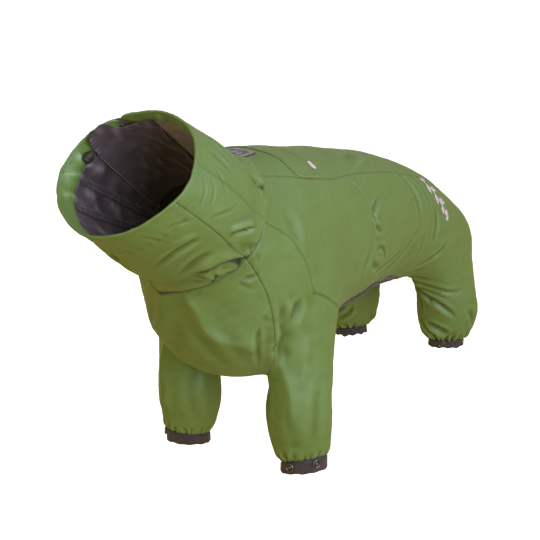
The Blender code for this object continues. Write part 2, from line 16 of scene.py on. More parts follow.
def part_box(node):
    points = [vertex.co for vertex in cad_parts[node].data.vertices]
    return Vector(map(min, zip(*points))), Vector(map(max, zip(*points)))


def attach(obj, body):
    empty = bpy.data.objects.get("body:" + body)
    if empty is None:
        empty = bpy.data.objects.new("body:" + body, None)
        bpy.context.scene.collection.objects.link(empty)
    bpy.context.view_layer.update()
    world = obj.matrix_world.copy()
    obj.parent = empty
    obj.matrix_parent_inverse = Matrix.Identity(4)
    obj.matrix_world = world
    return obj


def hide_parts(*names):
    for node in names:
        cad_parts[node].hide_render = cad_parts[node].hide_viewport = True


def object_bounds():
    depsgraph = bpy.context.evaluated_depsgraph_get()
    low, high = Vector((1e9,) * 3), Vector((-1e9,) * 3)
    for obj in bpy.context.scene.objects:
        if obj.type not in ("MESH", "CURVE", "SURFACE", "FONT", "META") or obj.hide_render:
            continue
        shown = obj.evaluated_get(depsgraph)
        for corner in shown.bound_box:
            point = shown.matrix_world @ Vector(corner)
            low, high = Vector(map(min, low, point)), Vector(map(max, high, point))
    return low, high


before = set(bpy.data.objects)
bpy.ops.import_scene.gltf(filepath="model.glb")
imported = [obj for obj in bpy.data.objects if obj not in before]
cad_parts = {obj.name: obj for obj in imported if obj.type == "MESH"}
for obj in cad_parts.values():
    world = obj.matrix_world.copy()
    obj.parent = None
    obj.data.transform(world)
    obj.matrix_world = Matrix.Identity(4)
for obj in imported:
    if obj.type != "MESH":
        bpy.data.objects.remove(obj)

MM = 0.001
CAD_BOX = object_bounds()
GRID = 2.0 * MM              # spacing of the cloth's mesh
CLOTH = 1.1 * MM             # the shell's wall
RIM_WALL = 1.8 * MM          # CAD triangles no higher than this are the edges of a wall
SEAM_WELD = 0.8 * MM         # CAD points nearer than this across a seam are one point

SHELL = ["collar_throat", "collar_side_left", "collar_side_right", "collar_top_left",
         "collar_top_right", "back_left", "back_right", "chest", "belly",
         "shoulder_leg_left", "shoulder_leg_right", "flank_left", "flank_right",
         "thigh_leg_left", "thigh_leg_right"]


# ---------------------------------------------------------------- small helpers

def unit(ways):
    """Vectors at length one."""
    return ways / np.maximum(np.linalg.norm(ways, axis=-1, keepdims=True), 1e-12)


def bell(distance, breadth, power=2):
    """1 in the middle, and about a third one breadth away."""
    return np.exp(-(distance / breadth) ** power)


def eased(share):
    """A share from 0 to 1 that starts and ends slowly."""
    return share * share * (3 - 2 * share)


def summed(numbers, values, count):
    """Rows of three values added up by their number."""
    return np.stack([np.bincount(numbers, values[:, axis], count) for axis in range(3)], 1)


def quad_sides(quads):
    """Every quad's four sides as pairs of corners, the lower number first."""
    return np.sort(np.stack([quads, np.roll(quads, -1, 1)], -1), -1).reshape(-1, 2)


def ring_faces(rings, count, first=0, closed=False):
    """Quads between rings of count points each, which follow each other from the first on."""
    faces = []
    for ring in range(rings if closed else rings - 1):
        low, high = first + ring * count, first + (ring + 1) % rings * count
        faces += [(low + step, low + (step + 1) % count, high + (step + 1) % count, high + step)
                  for step in range(count)]
    return faces


def tree_of(points, numbers=None):
    """A tree that finds which of the numbered points is nearest to a place."""
    numbers = range(len(points)) if numbers is None else numbers
    tree = KDTree(len(numbers))
    for number in numbers:
        tree.insert(points[number], int(number))
    tree.balance()
    return tree


def placed(name, data):
    """A new object in the scene."""
    made = bpy.data.objects.new(name, data)
    bpy.context.scene.collection.objects.link(made)
    return made


def as_modified(piece):
    """A new mesh, as the piece's modifiers make it."""
    return bpy.data.meshes.new_from_object(
        piece.evaluated_get(bpy.context.evaluated_depsgraph_get()))


def keep_modified(piece):
    """The piece becomes the plain mesh that its modifiers make."""
    before, piece_mesh = piece.data, as_modified(piece)
    piece.modifiers.clear()
    piece.data = piece_mesh
    bpy.data.meshes.remove(before)
    piece_mesh.name = piece.name


# ---------------------------------------------------------------- from CAD solid to fine cloth

def outer_skin(node, towards=None):
    """Points and triangles of a CAD wall's larger face, or of the one that looks at a place."""
    bm = bmesh.new()
    bm.from_mesh(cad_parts[node].data)
    bmesh.ops.remove_doubles(bm, verts=bm.verts, dist=0.01 * MM)
    narrow = [face for face in bm.faces
              if 2 * face.calc_area() / max(edge.calc_length() for edge in face.edges) < RIM_WALL]
    bmesh.ops.delete(bm, geom=narrow, context="FACES")
    bm.faces.ensure_lookup_table()
    islands, seen = [], set()
    for start in bm.faces:
        if start in seen:
            continue
        island, front = [], [start]
        seen.add(start)
        while front:
            face = front.pop()
            island.append(face)
            for edge in face.edges:
                for other in edge.link_faces:
                    if other not in seen:
                        seen.add(other)
                        front.append(other)
        islands.append(island)
    islands.sort(key=lambda island: -sum(face.calc_area() for face in island))
    chosen = islands[0]
    if towards is not None:
        chosen = max(islands[:2], key=lambda island: sum(
            face.calc_area() * face.normal.dot(towards - face.calc_center_median())
            for face in island))
    points = {}
    faces = []
    for face in chosen:
        faces.append([points.setdefault(vert, len(points)) for vert in face.verts])
    return [tuple(vert.co) for vert in points], faces


def welded_quads(nodes, towards=None):
    """One open mesh of the nodes' outer skins, joined at the seams, in quads where it can."""
    mesh = bpy.data.meshes.new("skin")
    points, faces, owners = [], [], []
    for number, node in enumerate(nodes):
        skin_points, skin_faces = outer_skin(node, towards)
        faces += [[corner + len(points) for corner in face] for face in skin_faces]
        owners += [number] * len(skin_faces)
        points += skin_points
    mesh.from_pydata(points, [], faces)
    mesh.polygons.foreach_set("material_index", owners)
    bm = bmesh.new()
    bm.from_mesh(mesh)
    bmesh.ops.remove_doubles(bm, verts=bm.verts, dist=SEAM_WELD)

    def longest(face):
        return max(face.edges, key=lambda edge: edge.calc_length())

    diagonals = [edge for edge in bm.edges if len(edge.link_faces) == 2
                 and edge.link_faces[0].material_index == edge.link_faces[1].material_index
                 and all(longest(face) == edge for face in edge.link_faces)]
    bmesh.ops.dissolve_edges(bm, edges=diagonals, use_verts=False)
    bmesh.ops.join_triangles(bm, faces=[face for face in bm.faces if len(face.verts) == 3],
                             cmp_materials=True, angle_face_threshold=math.radians(60),
                             angle_shape_threshold=math.radians(100))
    bm.to_mesh(mesh)
    bm.free()
    return mesh


def subdivided(mesh, levels):
    """Points, quads and face owners of the mesh's Catmull-Clark surface."""
    holder = placed("skin", mesh)
    smooth = holder.modifiers.new("smooth", "SUBSURF")
    smooth.levels = smooth.render_levels = levels
    smooth.boundary_smooth = "PRESERVE_CORNERS"
    fine = as_modified(holder)
    points = np.zeros(len(fine.vertices) * 3)
    fine.vertices.foreach_get("co", points)
    quads = np.zeros(len(fine.loops), np.int64)
    fine.loops.foreach_get("vertex_index", quads)
    owners = np.zeros(len(fine.polygons), np.int64)
    fine.polygons.foreach_get("material_index", owners)
    bpy.data.objects.remove(holder)
    bpy.data.meshes.remove(fine)
    return points.reshape(-1, 3), quads.reshape(-1, 4), owners


def even_grid(points, quads, owners, spacing):
    """The quads cut so that every strip of them has cells near the spacing."""
    edges, which = np.unique(quad_sides(quads), axis=0, return_inverse=True)
    which = which.reshape(-1, 4)
    parent = np.arange(len(edges))

    def top(edge):
        while parent[edge] != edge:
            parent[edge] = parent[parent[edge]]
            edge = parent[edge]
        return edge

    for a, b, c, d in which:
        parent[top(a)] = top(c)
        parent[top(b)] = top(d)
    strip = np.array([top(edge) for edge in range(len(edges))])
    lengths = np.linalg.norm(points[edges[:, 0]] - points[edges[:, 1]], axis=1)
    total, count = np.bincount(strip, lengths), np.bincount(strip)
    cuts = np.maximum(1, np.round(total[strip] / count[strip] / spacing)).astype(int)

    cloud, first = [points], np.zeros(len(edges), int)
    size = len(points)
    for edge, (a, b) in enumerate(edges):
        first[edge] = size
        share = (np.arange(1, cuts[edge]) / cuts[edge])[:, None]
        cloud.append(points[a] * (1 - share) + points[b] * share)
        size += cuts[edge] - 1

    def along(edge, start):
        inner = first[edge] + np.arange(cuts[edge] - 1)
        a, b = edges[edge]
        row = np.concatenate([[a], inner, [b]])
        return row if a == start else row[::-1]

    cells, owned = [], []
    for (v0, v1, v2, v3), (e0, e1, e2, e3), owner in zip(quads, which, owners):
        across, down = cuts[e0], cuts[e1]
        grid = np.zeros((across + 1, down + 1), int)
        grid[:, 0], grid[:, -1] = along(e0, v0), along(e2, v3)
        grid[-1, :], grid[0, :] = along(e1, v1), along(e3, v0)
        if across > 1 and down > 1:
            u = (np.arange(1, across) / across)[:, None, None]
            v = (np.arange(1, down) / down)[None, :, None]
            inner = ((1 - u) * (1 - v) * points[v0] + u * (1 - v) * points[v1]
                     + u * v * points[v2] + (1 - u) * v * points[v3])
            grid[1:-1, 1:-1] = size + np.arange(inner.shape[0] * inner.shape[1]).reshape(
                across - 1, down - 1)
            cloud.append(inner.reshape(-1, 3))
            size += len(cloud[-1])
        cells.append(np.stack([grid[:-1, :-1], grid[1:, :-1], grid[1:, 1:], grid[:-1, 1:]],
                              -1).reshape(-1, 4))
        owned.append(np.full(len(cells[-1]), owner))
    return np.concatenate(cloud), np.concatenate(cells), np.concatenate(owned)


class Cloth:
    """A fine open surface in quads, with its edges and the piece of every face."""

    def __init__(self, nodes, spacing=GRID, levels=2, smoothing=14, towards=None):
        self.nodes = nodes
        self.points, self.quads, self.owners = even_grid(
            *subdivided(welded_quads(nodes, towards), levels), spacing)
        self.edges, which, uses = np.unique(quad_sides(self.quads), axis=0,
                                            return_inverse=True, return_counts=True)
        self.open_edges = self.edges[uses == 1]
        face_of = np.repeat(np.arange(len(self.quads)), 4)[np.argsort(which.ravel(), kind="stable")]
        start = np.concatenate([[0], np.cumsum(uses)])[:-1]
        pairs = start[uses == 2]
        first, second = self.owners[face_of[pairs]], self.owners[face_of[pairs + 1]]
        self.seam_edges = self.edges[uses == 2][first != second]
        self.seam_pieces = np.sort(np.stack([first, second], 1)[first != second], 1)
        self.on_edge = np.zeros(len(self.points), bool)
        self.on_edge[self.open_edges.ravel()] = True
        self.relax(smoothing)

    def relax(self, times, pull=0.5):
        """Evens the surface out. Open edges are evened along themselves."""
        edges = self.edges[~self.on_edge[self.edges].all(1)]
        links = np.concatenate([edges, edges[:, ::-1], self.open_edges, self.open_edges[:, ::-1]])
        links = links[~(self.on_edge[links[:, 0]] & ~self.on_edge[links[:, 1]])]
        here, there = links.T
        count = np.maximum(np.bincount(here, minlength=len(self.points)), 1)
        for _ in range(times):
            mean = summed(here, self.points[there], len(self.points)) / count[:, None]
            self.points += (mean - self.points) * pull

    def normals(self):
        a, b, c, d = (self.points[self.quads[:, corner]] for corner in range(4))
        way = np.cross(c - a, d - b)
        return unit(sum(summed(self.quads[:, corner], way, len(self.points))
                        for corner in range(4)))

    def blurred(self, values, times):
        """A value of every point, evened out over its neighbours."""
        here, there = np.concatenate([self.edges, self.edges[:, ::-1]]).T
        count = np.maximum(np.bincount(here, minlength=len(self.points)), 1)
        for _ in range(times):
            values = (values + np.bincount(here, values[there], len(self.points)) / count) / 2
        return values

    def mark_painted_shade(self, still, normals, full):
        """How deep each point lies between its neighbours: 1 in a crease, -1 on a crest. It sets
        the painted shade in creases and the painted highlight on crests.
        """
        relief = ((self.points - still) * normals).sum(1)
        relief = self.blurred(relief, 9) - self.blurred(relief, 1)
        self.creases = np.clip(relief / full, -1, 0.7)


# ---------------------------------------------------------------- materials

def srgb(red, green, blue):
    """A colour as the eye reads it, 0 to 255, in linear light."""
    return tuple(((value / 255 + 0.055) / 1.055) ** 2.4 if value > 10 else value / 255 / 12.92
                 for value in (red, green, blue)) + (1.0,)


def set_stops(ramp, stops):
    """The places and colours of a colour ramp."""
    elements = ramp.color_ramp.elements
    while len(elements) < len(stops):
        elements.new(0.5)
    for element, (position, colour) in zip(elements, stops):
        element.position, element.color = position, colour


class Finish:
    """A node material that is built socket by socket."""

    def __init__(self, name, **values):
        self.material = bpy.data.materials.new(name)
        self.material.use_nodes = True
        self.tree = self.material.node_tree
        self.shader = self.tree.nodes["Principled BSDF"]
        for socket, value in values.items():
            self.shader.inputs[socket.replace("_", " ")].default_value = value
        self.place = self.tree.nodes.new("ShaderNodeTexCoord").outputs["Object"]

    def node(self, kind, **settings):
        made = self.tree.nodes.new("ShaderNode" + kind)
        for key, value in settings.items():
            setattr(made, key, value)
        return made

    def link(self, source, target):
        self.tree.links.new(source, target)

    def noise(self, scale, detail=3.0, roughness=0.55, place=None, distortion=0.0):
        made = self.node("TexNoise")
        made.inputs["Scale"].default_value = scale
        made.inputs["Detail"].default_value = detail
        made.inputs["Roughness"].default_value = roughness
        made.inputs["Distortion"].default_value = distortion
        self.link(place or self.place, made.inputs["Vector"])
        return made.outputs["Fac"]

    def ramp(self, source, stops):
        made = self.node("ValToRGB")
        set_stops(made, stops)
        self.link(source, made.inputs["Fac"])
        return made.outputs["Color"]

    def spread(self, source, low, high):
        """The source's middle range carried to low ... high."""
        made = self.node("MapRange")
        for socket, value in zip(("From Min", "From Max", "To Min", "To Max"),
                                 (0.3, 0.7, low, high)):
            made.inputs[socket].default_value = value
        self.link(source, made.inputs["Value"])
        return made.outputs["Result"]

    def maths(self, operation, one, two):
        made = self.node("Math", operation=operation)
        for socket, value in zip(made.inputs, (one, two)):
            if isinstance(value, (int, float)):
                socket.default_value = value
            else:
                self.link(value, socket)
        return made.outputs["Value"]

    def mixed(self, share, one, two, blend="MIX"):
        made = self.node("Mix", data_type="RGBA", blend_type=blend)
        for name, value in (("Factor", share), ("A", one), ("B", two)):
            socket = [s for s in made.inputs if s.name == name and s.enabled][0]
            if isinstance(value, (int, float, tuple)):
                socket.default_value = value
            else:
                self.link(value, socket)
        return [s for s in made.outputs if s.enabled][0]

    def toned(self, scale, detail, one, two):
        """Two colours in patches of a noise."""
        return self.mixed(self.spread(self.noise(scale, detail), 0, 1), one, two)

    def weave(self, pitch):
        """The height of a plain weave on the piece's own cloth coordinates, metres."""
        cloth = self.node("UVMap", uv_map="cloth").outputs["UV"]
        across = self.node("SeparateXYZ")
        self.link(cloth, across.inputs[0])
        waves = [self.maths("SINE", self.maths("MULTIPLY", across.outputs[axis],
                                               2 * math.pi / pitch), 0)
                 for axis in ("X", "Y")]
        return self.maths("MULTIPLY", *waves)

    def painted_crease_shade(self, cloth, dark, light):
        """The cloth's colour with painted shade down in its creases, a deeper painted shadow in
        their gaps, and a painted highlight along its crests.
        """
        depth = self.node("Attribute", attribute_name="crease").outputs["Fac"]
        hollow = self.mixed(self.maths("MAXIMUM", depth, 0), cloth, dark)
        # painted shadow in the deepest creases and in the folds' gaps
        gap = tuple(0.35 * part for part in dark[:3]) + (1.0,)
        beyond = self.maths("MULTIPLY", self.maths("SUBTRACT", depth, 0.75), 3.0)
        hollow = self.mixed(beyond, hollow, gap)
        return self.mixed(self.maths("MAXIMUM", self.maths("MULTIPLY", depth, -1), 0), hollow,
                          light)

    def bump(self, height, distance, strength=1.0, under=None):
        made = self.node("Bump")
        made.inputs["Strength"].default_value = strength
        made.inputs["Distance"].default_value = distance
        self.link(height, made.inputs["Height"])
        if under is not None:
            self.link(under, made.inputs["Normal"])
        self.link(made.outputs["Normal"], self.shader.inputs["Normal"])
        return made.outputs["Normal"]

    def colour(self, source):
        self.link(source, self.shader.inputs["Base Color"])

    def rough(self, scale, detail, low, high):
        self.link(self.spread(self.noise(scale, detail), low, high),
                  self.shader.inputs["Roughness"])


def shell_nylon(name, cast=(1, 1, 1)):
    """Satin coated nylon: an olive ground under a pale, broad shine, with a fine grain."""
    finish = Finish(name, Sheen_Weight=0.06, Sheen_Roughness=0.5,
                    Sheen_Tint=(0.8, 1, 0.85, 1), Specular_IOR_Level=0.95, IOR=1.5,
                    Specular_Tint=(0.75, 1, 1, 1))
    ground = finish.toned(9, 3, (0.100 * cast[0], 0.174 * cast[1], 0.036 * cast[2], 1),
                          (0.110 * cast[0], 0.188 * cast[1], 0.042 * cast[2], 1))
    grain = finish.spread(finish.noise(2600, 2), 0, 1)
    cloth = finish.mixed(finish.maths("MULTIPLY", grain, 0.22), ground, (0.076, 0.132, 0.026, 1))
    # painted shade in the creases and painted highlight on the crests, from the crease attribute
    finish.colour(finish.painted_crease_shade(cloth, (0.052, 0.078, 0.004, 1), (0.195, 0.290, 0.115, 1)))
    finish.rough(22, 4, 0.52, 0.62)
    crinkle = finish.bump(finish.noise(75, 5, 0.6, distortion=0.6), 0.0012, 0.35)
    finish.bump(finish.weave(0.0006), 0.00005, 0.5, crinkle)
    return finish.material


def backing():
    """The coated inner face of the shell, where it shows."""
    finish = Finish("coated backing", Roughness=0.5, Sheen_Weight=0.2)
    finish.colour(finish.ramp(finish.noise(400, 3), [(0.3, srgb(70, 74, 60)),
                                                     (0.7, srgb(84, 88, 72))]))
    return finish.material


def lining_taffeta():
    """Charcoal taffeta with a purple cast and a dull shine."""
    finish = Finish("charcoal taffeta", Sheen_Weight=0.5, Sheen_Roughness=0.4,
                    Sheen_Tint=srgb(190, 175, 190), Specular_IOR_Level=0.45)
    # its own charcoal, set paler to make up for the dim inside of the collar: partly painted light
    cloth = finish.toned(30, 3, srgb(70, 62, 66), srgb(82, 73, 78))
    # painted shade in the creases and painted highlight on the crests
    finish.colour(finish.painted_crease_shade(cloth, srgb(26, 22, 24), srgb(150, 136, 146)))
    finish.rough(60, 3, 0.42, 0.55)
    crinkle = finish.bump(finish.noise(120, 4, distortion=0.8), 0.0009, 0.4)
    finish.bump(finish.weave(0.0005), 0.00005, 0.6, crinkle)
    return finish.material


def belly_jersey():
    """Dark grey stretch jersey, matt, with a fine rib."""
    finish = Finish("grey stretch jersey", Roughness=0.65, Sheen_Weight=0.12,
                    Specular_IOR_Level=0.3)
    cloth = finish.toned(60, 3, srgb(44, 46, 50), srgb(58, 60, 65))
    # painted shade in the creases and painted highlight on the crests
    finish.colour(finish.painted_crease_shade(cloth, srgb(20, 20, 24), srgb(84, 86, 92)))
    finish.bump(finish.weave(0.0008), 0.00008, 0.7)
    return finish.material


def thread(name, colour):
    """Polyester sewing thread, a little glossy, twisted."""
    finish = Finish(name, Roughness=0.45, Sheen_Weight=0.3)
    darker = tuple(part * 0.7 for part in colour[:3]) + (1,)
    finish.colour(finish.toned(5000, 1, darker, colour))
    return finish.material


def woven(name, tones, weave, nap=0.0, **values):
    """A woven tape or cloth in two tones: its noise and colours, and the weave's pitch, height
    and strength. A nap softens it."""
    finish = Finish(name, **values)
    scale, detail, one, two = tones
    finish.colour(finish.toned(scale, detail, srgb(*one), srgb(*two)))
    under = finish.bump(finish.noise(700, 3), 0.0002, nap) if nap else None
    pitch, height, strength = weave
    finish.bump(finish.weave(pitch), height, strength, under)
    return finish.material


def moulded(name, tones, gloss, grain, **values):
    """Metal or plastic: the noise and colours of its tones, its roughness, and its fine grain."""
    finish = Finish(name, **values)
    finish.colour(finish.toned(*tones))
    finish.rough(*gloss)
    scale, height, strength = grain
    finish.bump(finish.noise(scale, 2), height, strength)
    return finish.material


def pale_tape():
    """A pale folded tag with narrow violet stripes."""
    finish = Finish("pale woven tag", Roughness=0.6, Sheen_Weight=0.3)
    split = finish.node("SeparateXYZ")
    finish.link(finish.place, split.inputs[0])
    turns = finish.maths("MULTIPLY", split.outputs["Y"], 2 * math.pi / STRIPE_PITCH)
    finish.colour(finish.ramp(finish.maths("GREATER_THAN", finish.maths("SINE", turns, 0), 0.45),
                              [(0.0, srgb(225, 220, 232)), (1.0, srgb(150, 130, 185))]))
    finish.bump(finish.weave(0.0006), 0.00006, 0.8)
    return finish.material


def pale_print():
    """A thin lilac-grey print, faintly cracked."""
    finish = Finish("pale print", Roughness=0.5, Specular_IOR_Level=0.4)
    finish.colour(finish.toned(260, 4, srgb(176, 164, 178), srgb(200, 189, 203)))
    finish.bump(finish.noise(900, 3), 0.00008, 0.4)
    return finish.material


STRIPE_PITCH = 2.6 * MM
# the facing is the shell's nylon painted lighter and yellower: painted light for the facing inside
# the collar's shade
NYLON, FACING_PAINTED_LIGHTER = shell_nylon("satin nylon"), shell_nylon("facing nylon painted lighter", (1.3, 1.24, 1.0))
BACKING, TAFFETA, JERSEY = backing(), lining_taffeta(), belly_jersey()
THREAD = thread("olive thread", srgb(104, 122, 58))
DARK_THREAD = thread("charcoal thread", srgb(66, 58, 62))
PALE_THREAD = thread("pale thread", srgb(206, 204, 208))
PIPING = thread("olive piping", srgb(126, 142, 78))
TAPE = woven("charcoal tape", (90, 3, (46, 38, 43), (62, 52, 58)), (0.0009, 0.0001, 0.8),
             Roughness=0.62, Sheen_Weight=0.25, Specular_IOR_Level=0.4)
CUFF_CLOTH = woven("elastic cuff cloth", (140, 4, (45, 40, 45), (60, 54, 60)),
                   (0.0011, 0.00012, 0.7), 0.3, Roughness=0.7, Sheen_Weight=0.35,
                   Sheen_Roughness=0.5, Sheen_Tint=srgb(200, 180, 185), Specular_IOR_Level=0.35)
LABEL_WEAVE = woven("black woven label", (200, 3, (30, 30, 33), (44, 43, 47)),
                    (0.0008, 0.0001, 1.0), Roughness=0.55, Sheen_Weight=0.35,
                    Sheen_Tint=srgb(180, 180, 190))
METAL = moulded("gunmetal", (900, 3, (0.12, 0.125, 0.14, 1), (0.30, 0.31, 0.35, 1)),
                (1500, 2, 0.22, 0.4), (2500, 0.00004, 0.5), Metallic=1.0, Roughness=0.3)
PLASTIC = moulded("dark moulded plastic",
                  (500, 3, (0.020, 0.018, 0.020, 1), (0.034, 0.031, 0.034, 1)),
                  (1200, 2, 0.38, 0.55), (3500, 0.00003, 0.6), Roughness=0.45,
                  Specular_IOR_Level=0.5)


# ---------------------------------------------------------------- pieces of cloth

def add_piece(name, points, faces, materials, slot=None, thickness=0.0, uv=None, replaces=(),
              creases=None):
    """A finished piece, riding on the one body."""
    mesh = bpy.data.meshes.new(name)
    mesh.from_pydata([tuple(point) for point in points], [], [list(face) for face in faces])
    for material in materials:
        mesh.materials.append(material)
    if uv is not None:
        layer = mesh.uv_layers.new(name="cloth")
        corners = np.zeros(len(mesh.loops), np.int64)
        mesh.loops.foreach_get("vertex_index", corners)
        layer.data.foreach_set("uv", np.asarray(uv)[corners].ravel())
    # the crease attribute carries the painted shade in creases and the painted highlight on crests
    if creases is not None:
        mesh.attributes.new("crease", "FLOAT", "POINT").data.foreach_set(
            "value", np.asarray(creases, np.float32))
    piece = placed(name, mesh)
    if thickness:
        wall = piece.modifiers.new("wall", "SOLIDIFY")
        wall.thickness, wall.offset, wall.material_offset = thickness, -1, len(materials) - 1
        keep_modified(piece)
    piece.data.shade_smooth()
    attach(piece, "root")
    if replaces:
        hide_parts(*replaces)
    return piece


SLOPE = 0.35                 # how much height counts beside length, for the weave and the zip
BODY_HEIGHT = -0.125         # of the body's middle, m
BODY_RADIUS = 0.1            # for turning angles round the body into lengths, m


def cloth_coordinates(points):
    """Lengths along and round the garment in metres, for the weave."""
    x, y, z = points.T
    return np.stack([y + SLOPE * z, np.arctan2(x, z - BODY_HEIGHT) * BODY_RADIUS], 1)


def cloth_piece(name, points, quads, materials, slot, wall, node, creases=None):
    """A sheet of cloth with its weave, in place of its CAD solid."""
    return add_piece(name, points, quads, materials, slot, wall, cloth_coordinates(points),
                     [node], creases)


def piece_of(cloth, number, gap=0.035 * MM):
    """The points and quads of one panel of a joined cloth, drawn in a little at its edge."""
    own = cloth.quads[cloth.owners == number]
    used, quads = np.unique(own, return_inverse=True)
    quads = quads.reshape(-1, 4)
    points = cloth.points[used].copy()
    edges, uses = np.unique(quad_sides(quads), axis=0, return_counts=True)
    rim = np.zeros(len(points), bool)
    rim[edges[uses == 1].ravel()] = True
    total = summed(quads.ravel(), np.repeat(points[quads].mean(1), 4, axis=0), len(points))
    count = np.bincount(quads.ravel(), minlength=len(points))
    points[rim] += unit(total / count[:, None] - points)[rim] * gap
    return points, quads, cloth.creases[used]


# ---------------------------------------------------------------- where things lie on it

BODY_AXIS = [(-110, -95), (0, -130), (140, -125), (260, -132), (400, -165), (500, -195)]
LEG_AXES = {"front": (84, -41), "rear": (87, 424)}
COLLAR_AXIS = [Vector((0, -257, 4.5)), Vector((0, -146, -63))]       # rim, neck
COLLAR_TOPS = [Vector((0, 0.641, 0.767)), Vector((0, 0.455, 0.891))]
COLLAR_WAY = np.array((COLLAR_AXIS[1] - COLLAR_AXIS[0]).normalized())
RIM_MIDDLE = np.array(COLLAR_AXIS[0]) * MM


def chart_ray(chart, first, second):
    """A start and a way for a place on the garment.

    body: y along it, and the angle from the top, positive on the wearer's left.
    collar: the share from the rim to the neck, and the angle from the top.
    front, rear: height on the left leg, and the angle from straight out to the tail side.
    front_right, rear_right: the same on the right leg, mirrored.
    """
    if chart == "body":
        height = np.interp(first, *zip(*BODY_AXIS))
        angle = math.radians(second)
        return Vector((0, first, height)), Vector((math.sin(angle), 0, math.cos(angle)))
    if chart == "collar":
        start = COLLAR_AXIS[0].lerp(COLLAR_AXIS[1], first)
        top = COLLAR_TOPS[0].lerp(COLLAR_TOPS[1], first).normalized()
        angle = math.radians(second)
        return start, Vector((math.sin(angle), 0, 0)) + top * math.cos(angle)
    x, y = LEG_AXES[chart.split("_")[0]]
    side = -1 if chart.endswith("right") else 1
    angle = math.radians(second)
    return Vector((side * x, y, first)), Vector((side * math.cos(angle), math.sin(angle), 0))


class Skin:
    """The smooth shell, to look up places, normals and the way that it has been moved."""

    def __init__(self, cloth):
        self.cloth = cloth
        self.still = cloth.points.copy()
        self.normals = cloth.normals()
        self.tree = BVHTree.FromPolygons([tuple(p) for p in self.still], cloth.quads.tolist())
        self.near = tree_of(self.still)

    def place(self, chart, first, second):
        start, way = chart_ray(chart, first, second)
        hit = self.tree.ray_cast(start * MM, way.normalized())
        if hit[0] is None:
            hit = self.tree.find_nearest((start + way * 90) * MM)
        return np.array(hit[0])

    def path(self, chart, knots, spacing=5 * MM):
        """Points on the still shell along a smooth line through the knots of a chart."""
        ends = [knots[0]] + list(knots) + [knots[-1]]
        line = []
        for a, b, c, d in zip(ends, ends[1:], ends[2:], ends[3:]):
            for step in range(8):
                t = step / 8
                weights = (-t + 2 * t * t - t ** 3, 2 - 5 * t * t + 3 * t ** 3,
                           t + 4 * t * t - 3 * t ** 3, -t * t + t ** 3)
                line.append([sum(w * k[axis] for w, k in zip(weights, (a, b, c, d))) / 2
                             for axis in (0, 1)])
        line.append(knots[-1])
        return even_line(np.array([self.place(chart, *knot) for knot in line]), spacing)

    def carried(self, points):
        """Other points moved as the shell near them has been moved."""
        moved = self.cloth.points - self.still
        result = np.array(points, float)
        for number, point in enumerate(points):
            found = self.near.find_n(point, 3)
            weights = np.array([1 / (distance + MM) for _, _, distance in found])
            result[number] += weights @ moved[[index for _, index, _ in found]] / weights.sum()
        return result


def even_line(points, spacing):
    """A line's points again, at even distances."""
    steps = np.linalg.norm(np.diff(points, axis=0), axis=1)
    reach = np.concatenate([[0], np.cumsum(steps)])
    count = max(3, int(round(reach[-1] / spacing)) + 1)
    wanted = np.linspace(0, reach[-1], count)
    return np.stack([np.interp(wanted, reach, points[:, axis]) for axis in range(3)], 1)


# ---------------------------------------------------------------- folds

def valley(side):
    """A soft trough with a low swell on each side."""
    return -bell(side, 1) + 0.42 * bell(np.abs(side) - 1.75, 0.8)


def ridge(side):
    """A raised crease with a narrow crest."""
    return bell(np.abs(side), 1, 1.5)


def lap(side):
    """A fold that leans over: raised on one side, and under its lip on the other."""
    return 2.0 * side * bell(side, 1) - 0.25 * bell(side - 0.2, 0.5)


def pinch(side):
    """A narrow, deep crease between two swells."""
    return -bell(np.abs(side) * 1.7, 1, 1.3) + 0.3 * bell(np.abs(side) - 1.3, 0.7)


def brow(side):
    """Cloth that swells slowly and then drops over its own lower edge."""
    return bell(side - 0.5, np.where(side > 0.5, 1.5, 0.5)) - 0.4 * bell(side + 0.35, 0.35)


def edge(side):
    """Where two broad planes of cloth meet: a low crest with long, even slopes."""
    return np.exp(-1.3 * np.sqrt(side ** 2 + 0.03))


FORMS = {"valley": valley, "ridge": ridge, "lap": lap, "pinch": pinch, "brow": brow,
         "edge": edge}
TUCK_SHADOWS = {
    # the painted shadow of the gap inside a fold, too narrow for the mesh: place across it,
    # breadth, darkness
    "pinch": (0.0, 0.30, 0.50), "lap": (-0.55, 0.32, 0.9), "brow": (-0.70, 0.60, 2.4),
}
LEAN = 0.75                  # how far a lap's crest leans over, as a share of its height
HANG = 0.9                   # the same for the cowl's own edge
FOLD_REACH = 3.4             # how far a fold moves the cloth, in its widths
FULL_TUCK = 3.5              # mm of depth from which a fold's painted gap shadow is fully dark
